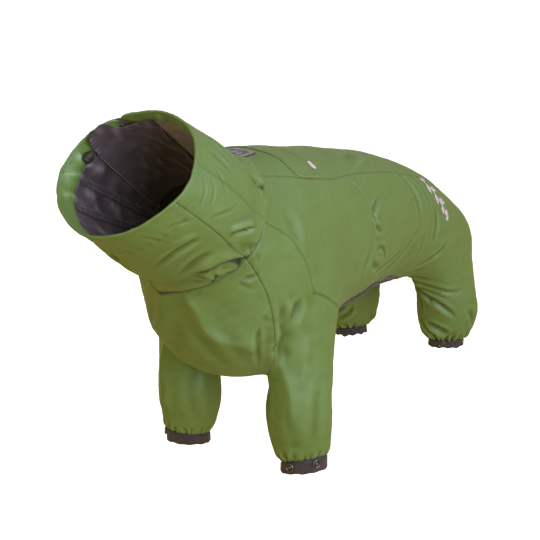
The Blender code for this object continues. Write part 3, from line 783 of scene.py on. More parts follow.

# Folds seen on the wearer's left. width is half the fold's breadth, depth its height.
LEFT_FOLDS = [
    # chart   form      width depth start end  knots
    # gathers from the belly strip and the crotch, up over the thigh
    ("body", "pinch", 4.2, 2.4, 0.0, 0.7, [(126, 115), (187, 108), (230, 92)]),
    ("body", "pinch", 3.5, 1.7, 0.0, 0.7, [(143, 119), (180, 113), (216, 103)]),
    ("body", "pinch", 4.3, 2.0, 0.1, 0.6, [(158, 122), (216, 106), (284, 81)]),
    ("body", "pinch", 3.5, 2.1, 0.0, 0.7, [(205, 125), (240, 112), (258, 98)]),
    ("body", "pinch", 3.6, 2.2, 0.0, 0.6, [(246, 130), (267, 117), (273, 99), (277, 84)]),
    ("body", "pinch", 4.6, 3.7, 0.0, 0.5, [(279, 135), (313, 117), (335, 105), (350, 94)]),
    ("body", "pinch", 4.2, 2.7, 0.0, 0.6, [(284, 137), (310, 131), (327, 126)]),
    ("body", "pinch", 3.8, 2.7, 0.1, 0.5, [(322, 146), (336, 138), (350, 131)]),
    ("body", "pinch", 4.6, 3.7, 0.0, 0.5, [(345, 148), (358, 135), (398, 124)]),
    # long tension creases over the rump
    ("body", "ridge", 3.6, 2.2, 0.4, 0.4, [(243, 34), (262, 47), (280, 62), (288, 80)]),
    ("body", "ridge", 2.9, 1.6, 0.4, 0.4, [(262, 30), (282, 46), (298, 62), (305, 82)]),
    ("body", "valley", 5.8, 2.7, 0.4, 0.4, [(226, 36), (246, 52), (258, 72), (256, 92)]),
    ("body", "ridge", 3.6, 1.6, 0.5, 0.5, [(330, 60), (345, 72), (350, 88)]),
    ("body", "valley", 5.0, 2.4, 0.4, 0.5, [(306, 72), (312, 86), (300, 106)]),
    # about the seam behind the flank
    ("body", "pinch", 3.6, 5.4, 0.3, 0.3, [(110, 69), (114, 75), (117, 82)]),
    ("body", "valley", 4.3, 3.0, 0.1, 0.7, [(112, 70), (126, 66), (140, 60)]),
    ("body", "valley", 4.3, 2.7, 0.1, 0.7, [(117, 80), (130, 84), (138, 80)]),
    ("body", "ridge", 2.9, 2.0, 0.3, 0.5, [(78, 45), (90, 49), (106, 60)]),
    ("body", "pinch", 4.3, 2.9, 0.2, 0.4, [(113, 97), (127, 96), (140, 101), (146, 110)]),
    ("body", "valley", 5.0, 3.0, 0.2, 0.6, [(104, 104), (124, 110), (142, 112)]),
    ("body", "valley", 6.5, 2.2, 0.4, 0.6, [(70, 112), (88, 100), (104, 84)]),
    ("body", "ridge", 4.3, 1.8, 0.4, 0.5, [(100, 40), (150, 33), (200, 25)]),
    ("body", "valley", 7.2, 2.2, 0.5, 0.5, [(104, 30), (150, 24), (196, 16)]),
    # shoulder and chest, beside their seam
    ("body", "pinch", 3.5, 1.9, 0.3, 0.4, [(-134, 131), (-122, 131), (-106, 129)]),
    ("body", "pinch", 4.6, 3.0, 0.2, 0.4, [(-130, 136), (-127, 143), (-118, 150), (-104, 156)]),
    ("body", "valley", 5.8, 3.5, 0.4, 0.4, [(-112, 118), (-106, 128), (-98, 140)]),
    ("body", "pinch", 2.9, 3.2, 0.3, 0.5, [(-157, 108), (-150, 106), (-141, 101)]),
    ("body", "pinch", 4.2, 1.5, 0.2, 0.7, [(-160, 112), (-148, 114), (-136, 112)]),
    ("body", "valley", 10.1, 1.6, 0.4, 0.5, [(-165, 176), (-150, 168), (-120, 166)]),
    ("body", "valley", 8.6, 1.4, 0.4, 0.5, [(-162, 150), (-140, 152), (-110, 160)]),
    ("body", "valley", 8.6, 2.2, 0.5, 0.5, [(-96, 60), (-86, 76), (-84, 92)]),
    ("body", "edge", 16.0, 9.5, 0.15, 0.15, [(-180, 166), (-168, 161), (-157, 162), (-136, 150),
                                             (-118, 148)]),
    # front leg: a dark hollow beside the chest, and small creases beside the seam
    ("front", "edge", 12.0, 7.5, 0.2, 0.1, [(-215, -96), (-241, -90), (-284, -74), (-330, -76),
                                            (-352, -78)]),
    ("front", "valley", 8.0, 5.0, 0.2, 0.4, [(-150, -58), (-182, -70), (-215, -84), (-245, -92)]),
    ("body", "pinch", 3.4, 2.6, 0.2, 0.3, [(-108, 146), (-103, 139), (-99, 134)]),
    ("body", "pinch", 3.0, 2.0, 0.2, 0.3, [(-110, 132), (-104, 134), (-97, 134)]),
    ("front", "valley", 9.4, 3.1, 0.3, 0.4, [(-186, -66), (-215, -80), (-245, -94)]),
    ("front", "ridge", 6.5, 1.8, 0.4, 0.5, [(-196, -42), (-235, -52), (-280, -58)]),
    ("front", "valley", 7.2, 2.0, 0.5, 0.3, [(-250, -20), (-300, -30), (-352, -34)]),
    ("front", "valley", 6.5, 1.8, 0.5, 0.2, [(-290, -78), (-325, -72), (-358, -66)]),
    ("front", "valley", 7.9, 2.0, 0.5, 0.4, [(-230, 40), (-280, 30), (-330, 36)]),
    ("front", "ridge", 5.8, 1.4, 0.5, 0.4, [(-260, 8), (-300, 0), (-345, 4)]),
    ("front", "valley", 7.2, 2.3, 0.4, 0.5, [(-210, 120), (-255, 105), (-310, 110)]),
    ("front", "valley", 6.5, 1.9, 0.4, 0.3, [(-260, -140), (-300, -128), (-350, -135)]),
    # rear leg: a fan from the crotch, and the blouse over the cuff
    ("rear", "pinch", 4.2, 4.1, 0.0, 0.5, [(-254, -113), (-270, -99), (-289, -88)]),
    ("rear", "pinch", 4.2, 4.1, 0.0, 0.5, [(-252, -110), (-259, -90), (-268, -66)]),
    ("rear", "pinch", 6.1, 5.5, 0.0, 0.4, [(-259, -112), (-280, -80), (-308, -44)]),
    ("rear", "pinch", 4.2, 3.4, 0.0, 0.6, [(-260, -116), (-285, -116), (-309, -118)]),
    ("rear", "valley", 5.8, 5.7, 0.3, 0.3, [(-316, -112), (-326, -84), (-338, -58)]),
    ("rear", "pinch", 5.2, 3.7, 0.3, 0.2, [(-308, -128), (-326, -114), (-342, -88)]),
    ("rear", "valley", 5.8, 4.1, 0.4, 0.4, [(-290, -30), (-305, -8), (-330, 6)]),
    ("rear", "ridge", 6.5, 3.2, 0.5, 0.4, [(-255, 10), (-290, 14), (-325, 22)]),
    ("rear", "valley", 6.5, 4.3, 0.3, 0.4, [(-262, 66), (-290, 50), (-325, 56)]),
    ("rear", "pinch", 6.1, 3.7, 0.2, 0.4, [(-262, 120), (-285, 100), (-318, 92)]),
    ("rear", "valley", 5.0, 4.3, 0.1, 0.5, [(-268, 172), (-290, 150), (-320, 145)]),
]

# The collar's folds, without their chart: all round it, so they have no mirrored copies. The
# first ones are the cowl's own base, which hangs over the neck seam.
COLLAR_FOLDS = [
    ("brow", 9.0, 8.5, 0.2, 0.1, [(1.16, 18), (1.10, 34), (1.02, 50), (0.98, 62)]),
    ("brow", 8.0, 6.5, 0.15, 0.2, [(0.99, 68), (0.95, 78), (0.92, 92), (0.97, 106)]),
    ("lap", 5.5, 3.6, 0.2, 0.3, [(0.82, 94), (0.74, 96), (0.66, 101), (0.59, 108)]),
    ("brow", 6.5, 5.5, 0.1, 0.3, [(0.98, 105), (0.93, 113), (0.80, 118), (0.73, 124),
                                 (0.71, 133), (0.70, 146)]),
    ("brow", 7.0, 7.0, 0.05, 0.15, [(0.91, 115), (0.96, 123), (0.91, 130), (0.85, 136),
                                   (0.94, 143), (0.95, 159), (0.99, 176), (1.02, 190),
                                   (1.06, 207)]),
    ("brow", 8.0, 7.0, 0.1, 0.1, [(1.04, 200), (1.0, 222), (1.02, 240), (0.95, 256)]),
    ("brow", 8.5, 7.5, 0.1, 0.1, [(0.98, 250), (1.02, 268), (0.99, 288), (1.06, 312)]),
    ("pinch", 2.8, 5.0, 0.2, 0.2, [(0.965, 56), (0.975, 66), (0.985, 76)]),
    ("pinch", 2.8, 4.0, 0.2, 0.3, [(0.77, 134), (0.84, 134), (0.94, 131)]),
    ("valley", 3.6, 3.5, 0.3, 0.5, [(0.44, 116), (0.40, 126), (0.42, 145), (0.53, 168)]),
    ("ridge", 3.6, 2.2, 0.3, 0.5, [(0.36, 116), (0.31, 130), (0.32, 146)]),
    ("valley", 4.3, 3.0, 0.4, 0.5, [(0.62, 118), (0.60, 134), (0.70, 158)]),
    ("pinch", 4.0, 4.2, 0.3, 0.3, [(0.58, 106), (0.66, 101), (0.74, 97), (0.84, 93)]),
    ("pinch", 2.4, 1.5, 0.4, 0.6, [(0.12, 132), (0.15, 122), (0.22, 112), (0.24, 106)]),
    ("pinch", 2.4, 1.4, 0.3, 0.7, [(0.05, 150), (0.13, 143), (0.25, 136), (0.38, 134)]),
    ("pinch", 2.2, 1.2, 0.4, 0.6, [(0.20, 106), (0.18, 97), (0.14, 88), (0.07, 78)]),
    ("pinch", 2.2, 1.1, 0.4, 0.6, [(0.27, 102), (0.26, 92), (0.20, 82), (0.14, 76)]),
    ("pinch", 2.6, 1.7, 0.4, 0.6, [(0.32, 107), (0.40, 99), (0.50, 91), (0.55, 82)]),
    ("pinch", 2.4, 1.2, 0.4, 0.6, [(0.16, 68), (0.26, 75), (0.36, 84), (0.42, 93)]),
    ("ridge", 2.9, 2.0, 0.4, 0.5, [(0.10, 52), (0.26, 46), (0.44, 55), (0.56, 66)]),
    ("ridge", 2.9, 1.9, 0.4, 0.5, [(0.20, 30), (0.40, 40), (0.58, 50), (0.70, 60)]),
    ("valley", 4.3, 2.2, 0.4, 0.5, [(0.12, 60), (0.30, 62), (0.50, 70)]),
    ("valley", 5.0, 3.5, 0.4, 0.4, [(0.30, 188), (0.46, 196), (0.62, 190)]),
    ("valley", 4.3, 3.2, 0.4, 0.4, [(0.34, 222), (0.50, 236), (0.66, 232)]),
    ("lap", 4.3, 4.1, 0.3, 0.4, [(0.62, 252), (0.72, 262), (0.84, 268)]),
    ("valley", 3.6, 2.4, 0.4, 0.5, [(0.20, 262), (0.40, 268), (0.60, 262)]),
    ("ridge", 3.6, 2.2, 0.4, 0.5, [(0.14, 300), (0.36, 308), (0.56, 300)]),
    ("valley", 4.3, 2.7, 0.4, 0.5, [(0.30, 318), (0.50, 312), (0.72, 306)]),
]


def on_collar(folds):
    """Folds of the collar's tables with their chart."""
    return [("collar",) + fold for fold in folds]


def on_the_right(folds, seed):
    """Folds like the left side's, uneven in their own way."""
    random = np.random.default_rng(seed)
    made = []
    for chart, form, width, depth, start, end, knots in folds:
        shift = random.uniform(-9, 9)
        turn = random.uniform(-6, 6)
        scale = random.uniform(0.75, 1.2)
        bent = [(first + shift + random.uniform(-3, 3), second + turn + random.uniform(-2, 2))
                for first, second in knots]
        if chart == "body":
            bent = [(first, -second) for first, second in bent]
        else:
            chart += "_right"
        made.append((chart, form, width * random.uniform(0.85, 1.15), depth * scale,
                     start, end, bent))
    return made


def fold_height(skin, fold):
    """Numbers of the points that one fold moves, how far out and sideways in mm, and the
    darkness of the painted shadow in the gap inside it."""
    chart, form, width, depth, start, end, knots = fold
    path = skin.path(chart, knots)
    reach = FOLD_REACH * width * MM
    points, normals = skin.still, skin.normals
    close = np.flatnonzero(((points > path.min(0) - reach)
                            & (points < path.max(0) + reach)).all(1))
    towards = points[close][:, None, :] - path[None, :, :]
    distance = np.linalg.norm(towards, axis=2)
    nearest = distance.argmin(1)
    keep = distance[np.arange(len(close)), nearest] < reach
    close, nearest, towards = close[keep], nearest[keep], towards[keep]
    tangents = unit(np.gradient(path, axis=0))
    offset = towards[np.arange(len(close)), nearest]
    along = (offset * tangents[nearest]).sum(1)
    across = unit(np.cross(tangents[nearest], normals[close]))
    side = (offset * across).sum(1)
    spacing = np.linalg.norm(path[1] - path[0])
    beyond = np.maximum(np.abs(along) - spacing * 0.6, 0)
    place = np.clip((nearest + np.clip(along / spacing, -0.5, 0.5)) / (len(path) - 1), 0, 1)
    fade = np.ones(len(close))
    if start:
        fade *= np.clip(place / start, 0, 1)
    if end:
        fade *= np.clip((1 - place) / end, 0, 1)
    fade = eased(fade) * bell(beyond, width * MM * 0.7)
    side /= width * MM * (0.75 + 0.25 * fade)
    height = FORMS[form](side) * depth * fade
    lean, gap = np.zeros(len(close)), np.zeros(len(close))
    # the painted shadow inside the fold's gap
    if form in TUCK_SHADOWS:
        place, breadth, darkness = TUCK_SHADOWS[form]
        gap = darkness * min(depth / FULL_TUCK, 1) * fade * bell(side - place, breadth)
    if form == "lap":
        lean = -LEAN * depth * fade * bell(side - 0.45, 0.6)
    if form == "brow":
        # the cowl's own edge: it swells away from the collar's axis and hangs over along it
        arm = points[close] - RIM_MIDDLE
        arm = unit(arm - (arm @ COLLAR_WAY)[:, None] * COLLAR_WAY)
        hang = HANG * depth * fade * bell(side - 0.35, 0.75)
        return close, height * 0, arm * height[:, None] + COLLAR_WAY * hang[:, None], gap
    return close, height, across * lean[:, None], gap


def waves(points, length, seed, count=7):
    """Smooth uneven heights between about -1 and 1, of about this wavelength in millimetres."""
    random = np.random.default_rng(seed)
    total = np.zeros(len(points))
    for _ in range(count):
        way = random.normal(size=3)
        way *= 2 * math.pi / (length * MM * random.uniform(0.7, 1.4)) / np.linalg.norm(way)
        total += np.sin(points @ way + random.uniform(0, 2 * math.pi))
    return total / math.sqrt(count / 2) / 1.6


LEG_BREADTH = 68             # mm from a cuff's middle within which points belong to its leg
LEG_RISE = 75                # mm above the hem that the leg's end reaches
LEG_RADIUS = 31.0            # mm, for turning angles round a gathered hem into lengths


def by_leg(points):
    """For each leg: its cuff's name, and the points' places across, along and above its hem in
    mm, with which of them are near."""
    for place in ("front", "rear"):
        for side in ("left", "right"):
            node = f"cuff_{place}_{side}"
            low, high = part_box(node)
            x, y, rise = (points / MM - np.array(((low.x + high.x) / 2, (low.y + high.y) / 2,
                                                  high.z)) / MM).T
            near = (np.hypot(x, y) < LEG_BREADTH) & (rise < LEG_RISE)
            yield node, x, y, rise, near


GATHERS = {
    # leg    creases  height of them, mm  depth, mm
    "front": (17, (6, 17), (1.3, 3.4)),
    "rear": (15, (10, 30), (2.4, 5.5)),
}


def leg_gathers(points):
    """Short slanted creases that the elastic of each cuff gathers, with puffs between them."""
    height = np.zeros(len(points))
    for number, (node, x, y, rise, near) in enumerate(by_leg(points)):
        count, tall, deep = GATHERS[node.split("_")[1]]
        random = np.random.default_rng(31 + number)
        angle = np.arctan2(y, x)
        up = np.clip(rise, 0, None)
        height += near * 1.3 * bell(up - tall[1] / 2, tall[1] * 0.6)
        for crease in range(count):
            turn = 2 * math.pi * (crease + random.uniform(-0.3, 0.3)) / count
            top, depth = random.uniform(*tall), random.uniform(*deep)
            lean, wide = random.uniform(-0.5, 0.5), random.uniform(1.5, 2.4)
            off = (angle - turn + math.pi) % (2 * math.pi) - math.pi
            off = off * LEG_RADIUS - lean * up
            breadth = wide + 0.14 * up
            share = np.clip(1 - up / top, 0, 1)
            fade = share ** 0.7 * np.clip((up + 1.5) / 4, 0.25, 1)
            height += near * depth * fade * (0.55 * bell(np.abs(off) - 1.9 * breadth, breadth)
                                             - bell(off, breadth))
    return height


LEG_ENDS = {
    # cuff              flat  tilt  roll  drop, mm
    "cuff_front_left": (0.24, 4.0, 3.2, 4.6),
    "cuff_front_right": (0.20, 3.0, -1.5, 3.5),
    "cuff_rear_left": (0.15, 2.5, 0.5, 1.5),
    "cuff_rear_right": (0.12, 1.5, 2.5, 0.5),
}
FLAT_TURN = math.radians(32)         # which way the legs' ends are pressed flat
FLAT_WAY = np.array((math.sin(FLAT_TURN), -math.cos(FLAT_TURN), 0))
ROLL_WAY = np.array((-FLAT_WAY[1], FLAT_WAY[0], 0))


def settled(points):
    """The legs' ends lie a little flat from front to back, and their hems tilt and roll."""
    moved = np.array(points, float)
    for node, x, y, rise, near in by_leg(moved.copy()):
        flat, tilt, roll, drop = LEG_ENDS[node]
        arm = np.stack([x, y, 0 * x], 1)
        ahead, beside = arm @ FLAT_WAY, arm @ ROLL_WAY
        fade = eased(near * np.clip(1 - np.clip(rise, 0, None) / LEG_RISE, 0, 1))
        moved -= FLAT_WAY * (ahead * flat * fade)[:, None] * MM
        moved[:, 2] += ((tilt * ahead + roll * beside) / 30 - drop) * fade * MM
    return moved


def frilled(points):
    """The small ups and downs of each gathered hem, in metres up."""
    rise_by = np.zeros(len(points))
    for number, (node, x, y, rise, near) in enumerate(by_leg(points)):
        angle = np.arctan2(y, x)
        frill = (0.7 * np.sin(23 * angle + number) + 0.5 * np.sin(37 * angle + 2 * number)
                 + 0.4 * np.sin(11 * angle))
        rise_by += near * frill * bell(rise, 4)
    return rise_by * MM


def belly_folds(points):
    """Soft lengthwise folds of the slack stretch panel under the belly."""
    x, y, z = (points / MM).T
    shape = bell(y - 150, 120, 4)
    wander = x + 5 * np.sin(y / 38) + 3 * np.sin(y / 17 + 1)
    return shape * (1.5 * np.sin(wander / 2.9) + 0.9 * np.sin(wander / 1.9 + y / 60 + 2))


def seam_height(cloth):
    """The groove of every seam, the swell of its turned-in edges, and slight puckers."""
    near = tree_of(cloth.points, np.unique(cloth.seam_edges))
    distance = np.array([near.find(point)[2] for point in cloth.points]) / MM
    tight = waves(cloth.points, 11, 5) * bell(distance, 7)
    return -0.26 * bell(distance, 1.1) + 0.28 * bell(distance - 4, 2.2) + 0.25 * tight


CHANNELS = [
    # rows of stitches with small puckers: chart, knots, millimetres between its two rows
    ("collar", [(0.27, 180), (0.26, 169), (0.22, 153), (0.20, 140), (0.19, 128), (0.18, 116),
                (0.17, 104)], 0),
    ("collar", [(0.27, 180), (0.26, 191), (0.22, 207), (0.20, 220), (0.19, 232), (0.18, 244),
                (0.17, 256)], 0),
    ("body", [(-180, 180), (-180, 167), (-181, 141), (-180, 123), (-174, 107), (-163, 98),
              (-154, 92), (-144, 89)], 2.0),
    ("body", [(-180, -180), (-180, -167), (-181, -141), (-180, -123), (-174, -107), (-163, -98),
              (-154, -92), (-144, -89)], 2.0),
]


PUCKER_REACH = 9             # mm to each side of a row of stitches


def channel_puckers(skin):
    """Small creases that the channels' stitches draw up on both their sides."""
    height = np.zeros(len(skin.still))
    reach = PUCKER_REACH * MM
    for chart, knots, between in CHANNELS:
        path = skin.path(chart, knots, 2 * MM)
        near = tree_of(path)
        box = ((skin.still > path.min(0) - reach) & (skin.still < path.max(0) + reach)).all(1)
        for number in np.flatnonzero(box):
            _, place, distance = near.find(skin.still[number])
            off = distance / MM
            if off < PUCKER_REACH:
                run = place * 2.0
                crease = math.sin(run / 1.9 + 1.2 * math.sin(run / 9) + len(knots))
                height[number] += (0.45 * crease * bell(off - 2.5, 2.4)
                                   - 0.3 * bell(off, 1.4))
    return height


def shape_shell(skin):
    """All of the shell's relief, laid on the smooth form."""
    cloth = skin.cloth
    still = skin.still
    height = np.zeros(len(still))
    sideways, gap_shadows, planes = np.zeros((len(still), 3)), np.zeros(len(still)), height.copy()
    for fold in LEFT_FOLDS + on_the_right(LEFT_FOLDS, 12) + on_collar(COLLAR_FOLDS):
        close, rise, lean, gap = fold_height(skin, fold)
        height[close] += rise
        if fold[1] == "edge":
            planes[close] += rise
        sideways[close] += lean
        gap_shadows[close] = np.maximum(gap_shadows[close], gap)
    height += 0.8 * waves(still, 95, 3) + 0.3 * waves(still, 42, 4) + 0.12 * waves(still, 17, 8)
    height += leg_gathers(still) + channel_puckers(skin)
    height += seam_height(cloth)
    belly = np.zeros(len(still))
    belly[cloth.quads[cloth.owners == SHELL.index("belly")].ravel()] = 1
    height += belly * belly_folds(still)
    cloth.points = still + (skin.normals * height[:, None] + sideways) * MM
    cloth.relax(1, pull=0.3)
    planes += 0.6 * seam_height(cloth)
    # the crease attribute: painted shade in creases, painted highlight on crests, and the painted
    # shadows in the folds' gaps
    cloth.mark_painted_shade(still + skin.normals * planes[:, None] * MM, skin.normals, 0.7 * MM)
    cloth.creases = np.clip(np.maximum(cloth.creases, 0.3 * cloth.creases + gap_shadows), -1, 1.4)
    cloth.points = settled(cloth.points)
    cloth.points[:, 2] += frilled(still)


# ---------------------------------------------------------------- lines and small repeats

def in_order(edges):
    """Edges as lists of points that follow each other."""
    links = {}
    for one, other in edges:
        links.setdefault(int(one), []).append(int(other))
        links.setdefault(int(other), []).append(int(one))
    left = set(links)
    lines = []
    while left:
        ends = [number for number in left if len([n for n in links[number] if n in left]) == 1]
        line = [min(ends) if ends else min(left)]
        left.discard(line[0])
        while True:
            onward = [number for number in links[line[-1]] if number in left]
            if not onward:
                break
            line.append(onward[0])
            left.discard(onward[0])
        lines.append(line)
    return lines


class Surface:
    """A finished cloth surface, to lay things on."""

    def __init__(self, points, quads):
        self.tree = BVHTree.FromPolygons([tuple(point) for point in points], quads.tolist())

    def laid(self, points, lift=0.0, reach=0.02):
        """The nearest places of the surface, lifted off it, and its normals there."""
        places, normals = [], []
        for point in points:
            place, normal, _, _ = self.tree.find_nearest(Vector(point), reach)
            if place is None:
                place, normal = Vector(point), Vector((0, 0, 1))
            places.append(place + normal * lift)
            normals.append(normal)
        return np.array(places), np.array(normals)

    def beside(self, line, offset, lift):
        """A line that runs on the surface at a distance beside another."""
        places, normals = self.laid(line)
        return self.laid(places + across_line(places, normals) * offset, lift)[0]


def across_line(places, normals):
    """The ways across a line that lies on a surface."""
    return unit(np.cross(np.gradient(places, axis=0), normals))


def node_input(tree, name, kind, value):
    socket = tree.interface.new_socket(name, in_out="INPUT", socket_type=kind)
    socket.default_value = value
    return socket


def stitch_tree():
    """Geometry Nodes: a thread's stitches along every line of a wire mesh."""
    tree = bpy.data.node_groups.new("stitches", "GeometryNodeTree")
    tree.interface.new_socket("Geometry", in_out="INPUT", socket_type="NodeSocketGeometry")
    node_input(tree, "Pitch", "NodeSocketFloat", 2.8 * MM)
    node_input(tree, "Length", "NodeSocketFloat", 2.0 * MM)
    node_input(tree, "Thread", "NodeSocketFloat", 0.5 * MM)
    tree.interface.new_socket("Material", in_out="INPUT", socket_type="NodeSocketMaterial")
    tree.interface.new_socket("Geometry", in_out="OUTPUT", socket_type="NodeSocketGeometry")
    make = tree.nodes.new
    start, end = make("NodeGroupInput"), make("NodeGroupOutput")
    curve, evenly = make("GeometryNodeMeshToCurve"), make("GeometryNodeResampleCurve")
    evenly.mode = "LENGTH"
    ball, copies = make("GeometryNodeMeshUVSphere"), make("GeometryNodeInstanceOnPoints")
    ball.inputs["Segments"].default_value = 5
    ball.inputs["Rings"].default_value = 4
    ball.inputs["Radius"].default_value = 0.5
    tangent, turn = make("GeometryNodeInputTangent"), make("FunctionNodeAlignRotationToVector")
    turn.axis = "Z"
    size = make("ShaderNodeCombineXYZ")
    real, finish = make("GeometryNodeRealizeInstances"), make("GeometryNodeSetMaterial")
    smooth = make("GeometryNodeSetShadeSmooth")
    link = tree.links.new
    link(start.outputs["Geometry"], curve.inputs[0])
    link(curve.outputs[0], evenly.inputs["Curve"])
    link(start.outputs["Pitch"], evenly.inputs["Length"])
    link(evenly.outputs[0], copies.inputs["Points"])
    link(ball.outputs["Mesh"], copies.inputs["Instance"])
    link(tangent.outputs[0], turn.inputs["Vector"])
    link(turn.outputs[0], copies.inputs["Rotation"])
    for axis, name in (("X", "Thread"), ("Y", "Thread"), ("Z", "Length")):
        link(start.outputs[name], size.inputs[axis])
    link(size.outputs[0], copies.inputs["Scale"])
    link(copies.outputs[0], real.inputs[0])
    link(real.outputs[0], smooth.inputs[0])
    link(smooth.outputs[0], finish.inputs["Geometry"])
    link(start.outputs["Material"], finish.inputs["Material"])
    link(finish.outputs[0], end.inputs[0])
    return tree


STITCHES = stitch_tree()


def stitched(name, lines, sizes, material=THREAD):
    """A piece of stitches along some lines. The sizes are their pitch, length and thickness."""
    points, edges = [], []
    for line in lines:
        first = len(points)
        points += [tuple(point) for point in line]
        edges += [(number, number + 1) for number in range(first, len(points) - 1)]
    mesh = bpy.data.meshes.new(name)
    mesh.from_pydata(points, edges, [])
    piece = placed(name, mesh)
    repeat = piece.modifiers.new("repeat", "NODES")
    repeat.node_group = STITCHES
    values = dict(zip(("Pitch", "Length", "Thread"), (size * MM for size in sizes)),
                  Material=material)
    for socket in STITCHES.interface.items_tree:
        if socket.in_out == "INPUT" and socket.name in values:
            repeat[socket.identifier] = values[socket.name]
    keep_modified(piece)
    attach(piece, "root")


SEAM_STITCH = (2.9, 2.1, 0.5)        # mm: pitch, length, thickness
STITCH_LIFT = 0.12 * MM


def tube(lines, radius, sides=8, closed=False, wobble=0.0, seed=1):
    """Points and faces of round cords along some lines."""
    points, faces = [], []
    for line in lines:
        line = np.asarray(line)
        along = np.gradient(line, axis=0)
        if closed:
            along = np.roll(line, -1, 0) - np.roll(line, 1, 0)
        along = unit(along)
        side = np.cross(along[0], [0.3, 0.2, 0.9])
        first = len(points)
        swell = 1 + wobble * waves(line, 9, seed)
        for place, way, fat in zip(line, along, swell):
            side = unit(side - way * (side @ way))
            up = np.cross(way, side)
            for corner in range(sides):
                angle = 2 * math.pi * corner / sides
                points.append(place + radius * fat * (side * math.cos(angle)
                                                      + up * math.sin(angle)))
        faces += ring_faces(len(line), sides, first, closed)
        if not closed:
            faces.append(tuple(range(first, first + sides))[::-1])
            faces.append(tuple(range(len(points) - sides, len(points))))
    return points, faces


def round_piece(name, lines, radius, material, slot, sides=8, replaces=(), **shape):
    """A cord, piping or rolled edge along some lines."""
    points, faces = tube(lines, radius, sides, **shape)
    add_piece(name, points, faces, [material], slot, uv=cloth_coordinates(np.array(points)),
              replaces=replaces)


# ---------------------------------------------------------------- the shell

shell = Cloth(SHELL)
skin = Skin(shell)
shape_shell(skin)
outside = Surface(shell.points, shell.quads)
for number, node in enumerate(SHELL):
    points, quads, creases = piece_of(shell, number)
    material, slot = (JERSEY, "stretch_panel") if node == "belly" else (NYLON, "shell_cloth")
    cloth_piece(node + "_cloth", points, quads, [material, BACKING], slot, CLOTH, node, creases)


def seam_lines(one, other):
    """The moved seams between two panels, as lines of points."""
    pair = sorted((SHELL.index(one), SHELL.index(other)))
    edges = shell.seam_edges[(shell.seam_pieces == pair).all(1)]
    return [even_line(shell.points[line], 4 * MM) for line in in_order(edges) if len(line) > 4]


# The topstitched rows beside each seam, millimetres to one side or the other
TOPSTITCHED = []
for side in ("left", "right"):
    TOPSTITCHED += [
        ("collar_throat", "collar_side_" + side, (-2.2, 2.2)),
        ("collar_side_" + side, "collar_top_" + side, (-2.2, 2.2)),
        ("shoulder_leg_" + side, "flank_" + side, (0.9,)),
        ("chest", "shoulder_leg_" + side, (0.9,)),
        ("back_left", "flank_" + side, (2.2,)),
        ("back_right", "flank_" + side, (2.2,)),
        ("flank_" + side, "thigh_leg_" + side, (2.0,)),
        ("back_left", "thigh_leg_" + side, (2.2,)),
        ("back_right", "thigh_leg_" + side, (2.2,)),
        ("belly", "flank_" + side, (2.0,)),
        ("belly", "thigh_leg_" + side, (2.0,)),
    ]
rows = []
for one, other, offsets in TOPSTITCHED:
    for line in seam_lines(one, other):
        for offset in offsets:
            rows.append(outside.beside(line, offset * MM, STITCH_LIFT))
stitched("seam_stitches", rows, (2.9, 2.1, 0.55))
rows = []
for chart, knots, apart in CHANNELS:
    line = skin.carried(skin.path(chart, knots, 4 * MM))
    rows += [outside.beside(line, offset * MM, STITCH_LIFT) for offset in {0, apart}]
stitched("channel_stitches", rows, (2.9, 2.0, 0.5))


# ---------------------------------------------------------------- the collar's mouth

MOUTH = Vector((0, -205, -35)) * MM
RIM_REACH = 19 * MM          # how deep past the rim's plane its own points lie
RIM_BACK = -190 * MM         # and no further back than this


def rim_line():
    """The collar's open edge, from one side of the zip round to the other."""
    lines = []
    for loop in in_order(shell.open_edges):
        points = shell.points[loop]
        on_rim = ((points - RIM_MIDDLE) @ COLLAR_WAY < RIM_REACH) & (points[:, 1] < RIM_BACK)
        if on_rim.sum() > 50:
            start = int(np.flatnonzero(~on_rim)[0])
            order = np.roll(np.arange(len(points)), -start)
            lines.append(points[order][on_rim[order]])
    return even_line(max(lines, key=len), 3 * MM)


rim = rim_line()
to_middle = np.array(MOUTH) - rim
to_middle = unit(to_middle - (to_middle @ COLLAR_WAY)[:, None] * COLLAR_WAY)
round_piece("collar_rim_edge", [rim + to_middle * 0.7 * MM], 1.75 * MM, NYLON, "shell_cloth", 10,
            wobble=0.16)
stitched("rim_stitches", [outside.beside(rim + COLLAR_WAY * 6.5 * MM, 0, STITCH_LIFT)], SEAM_STITCH)

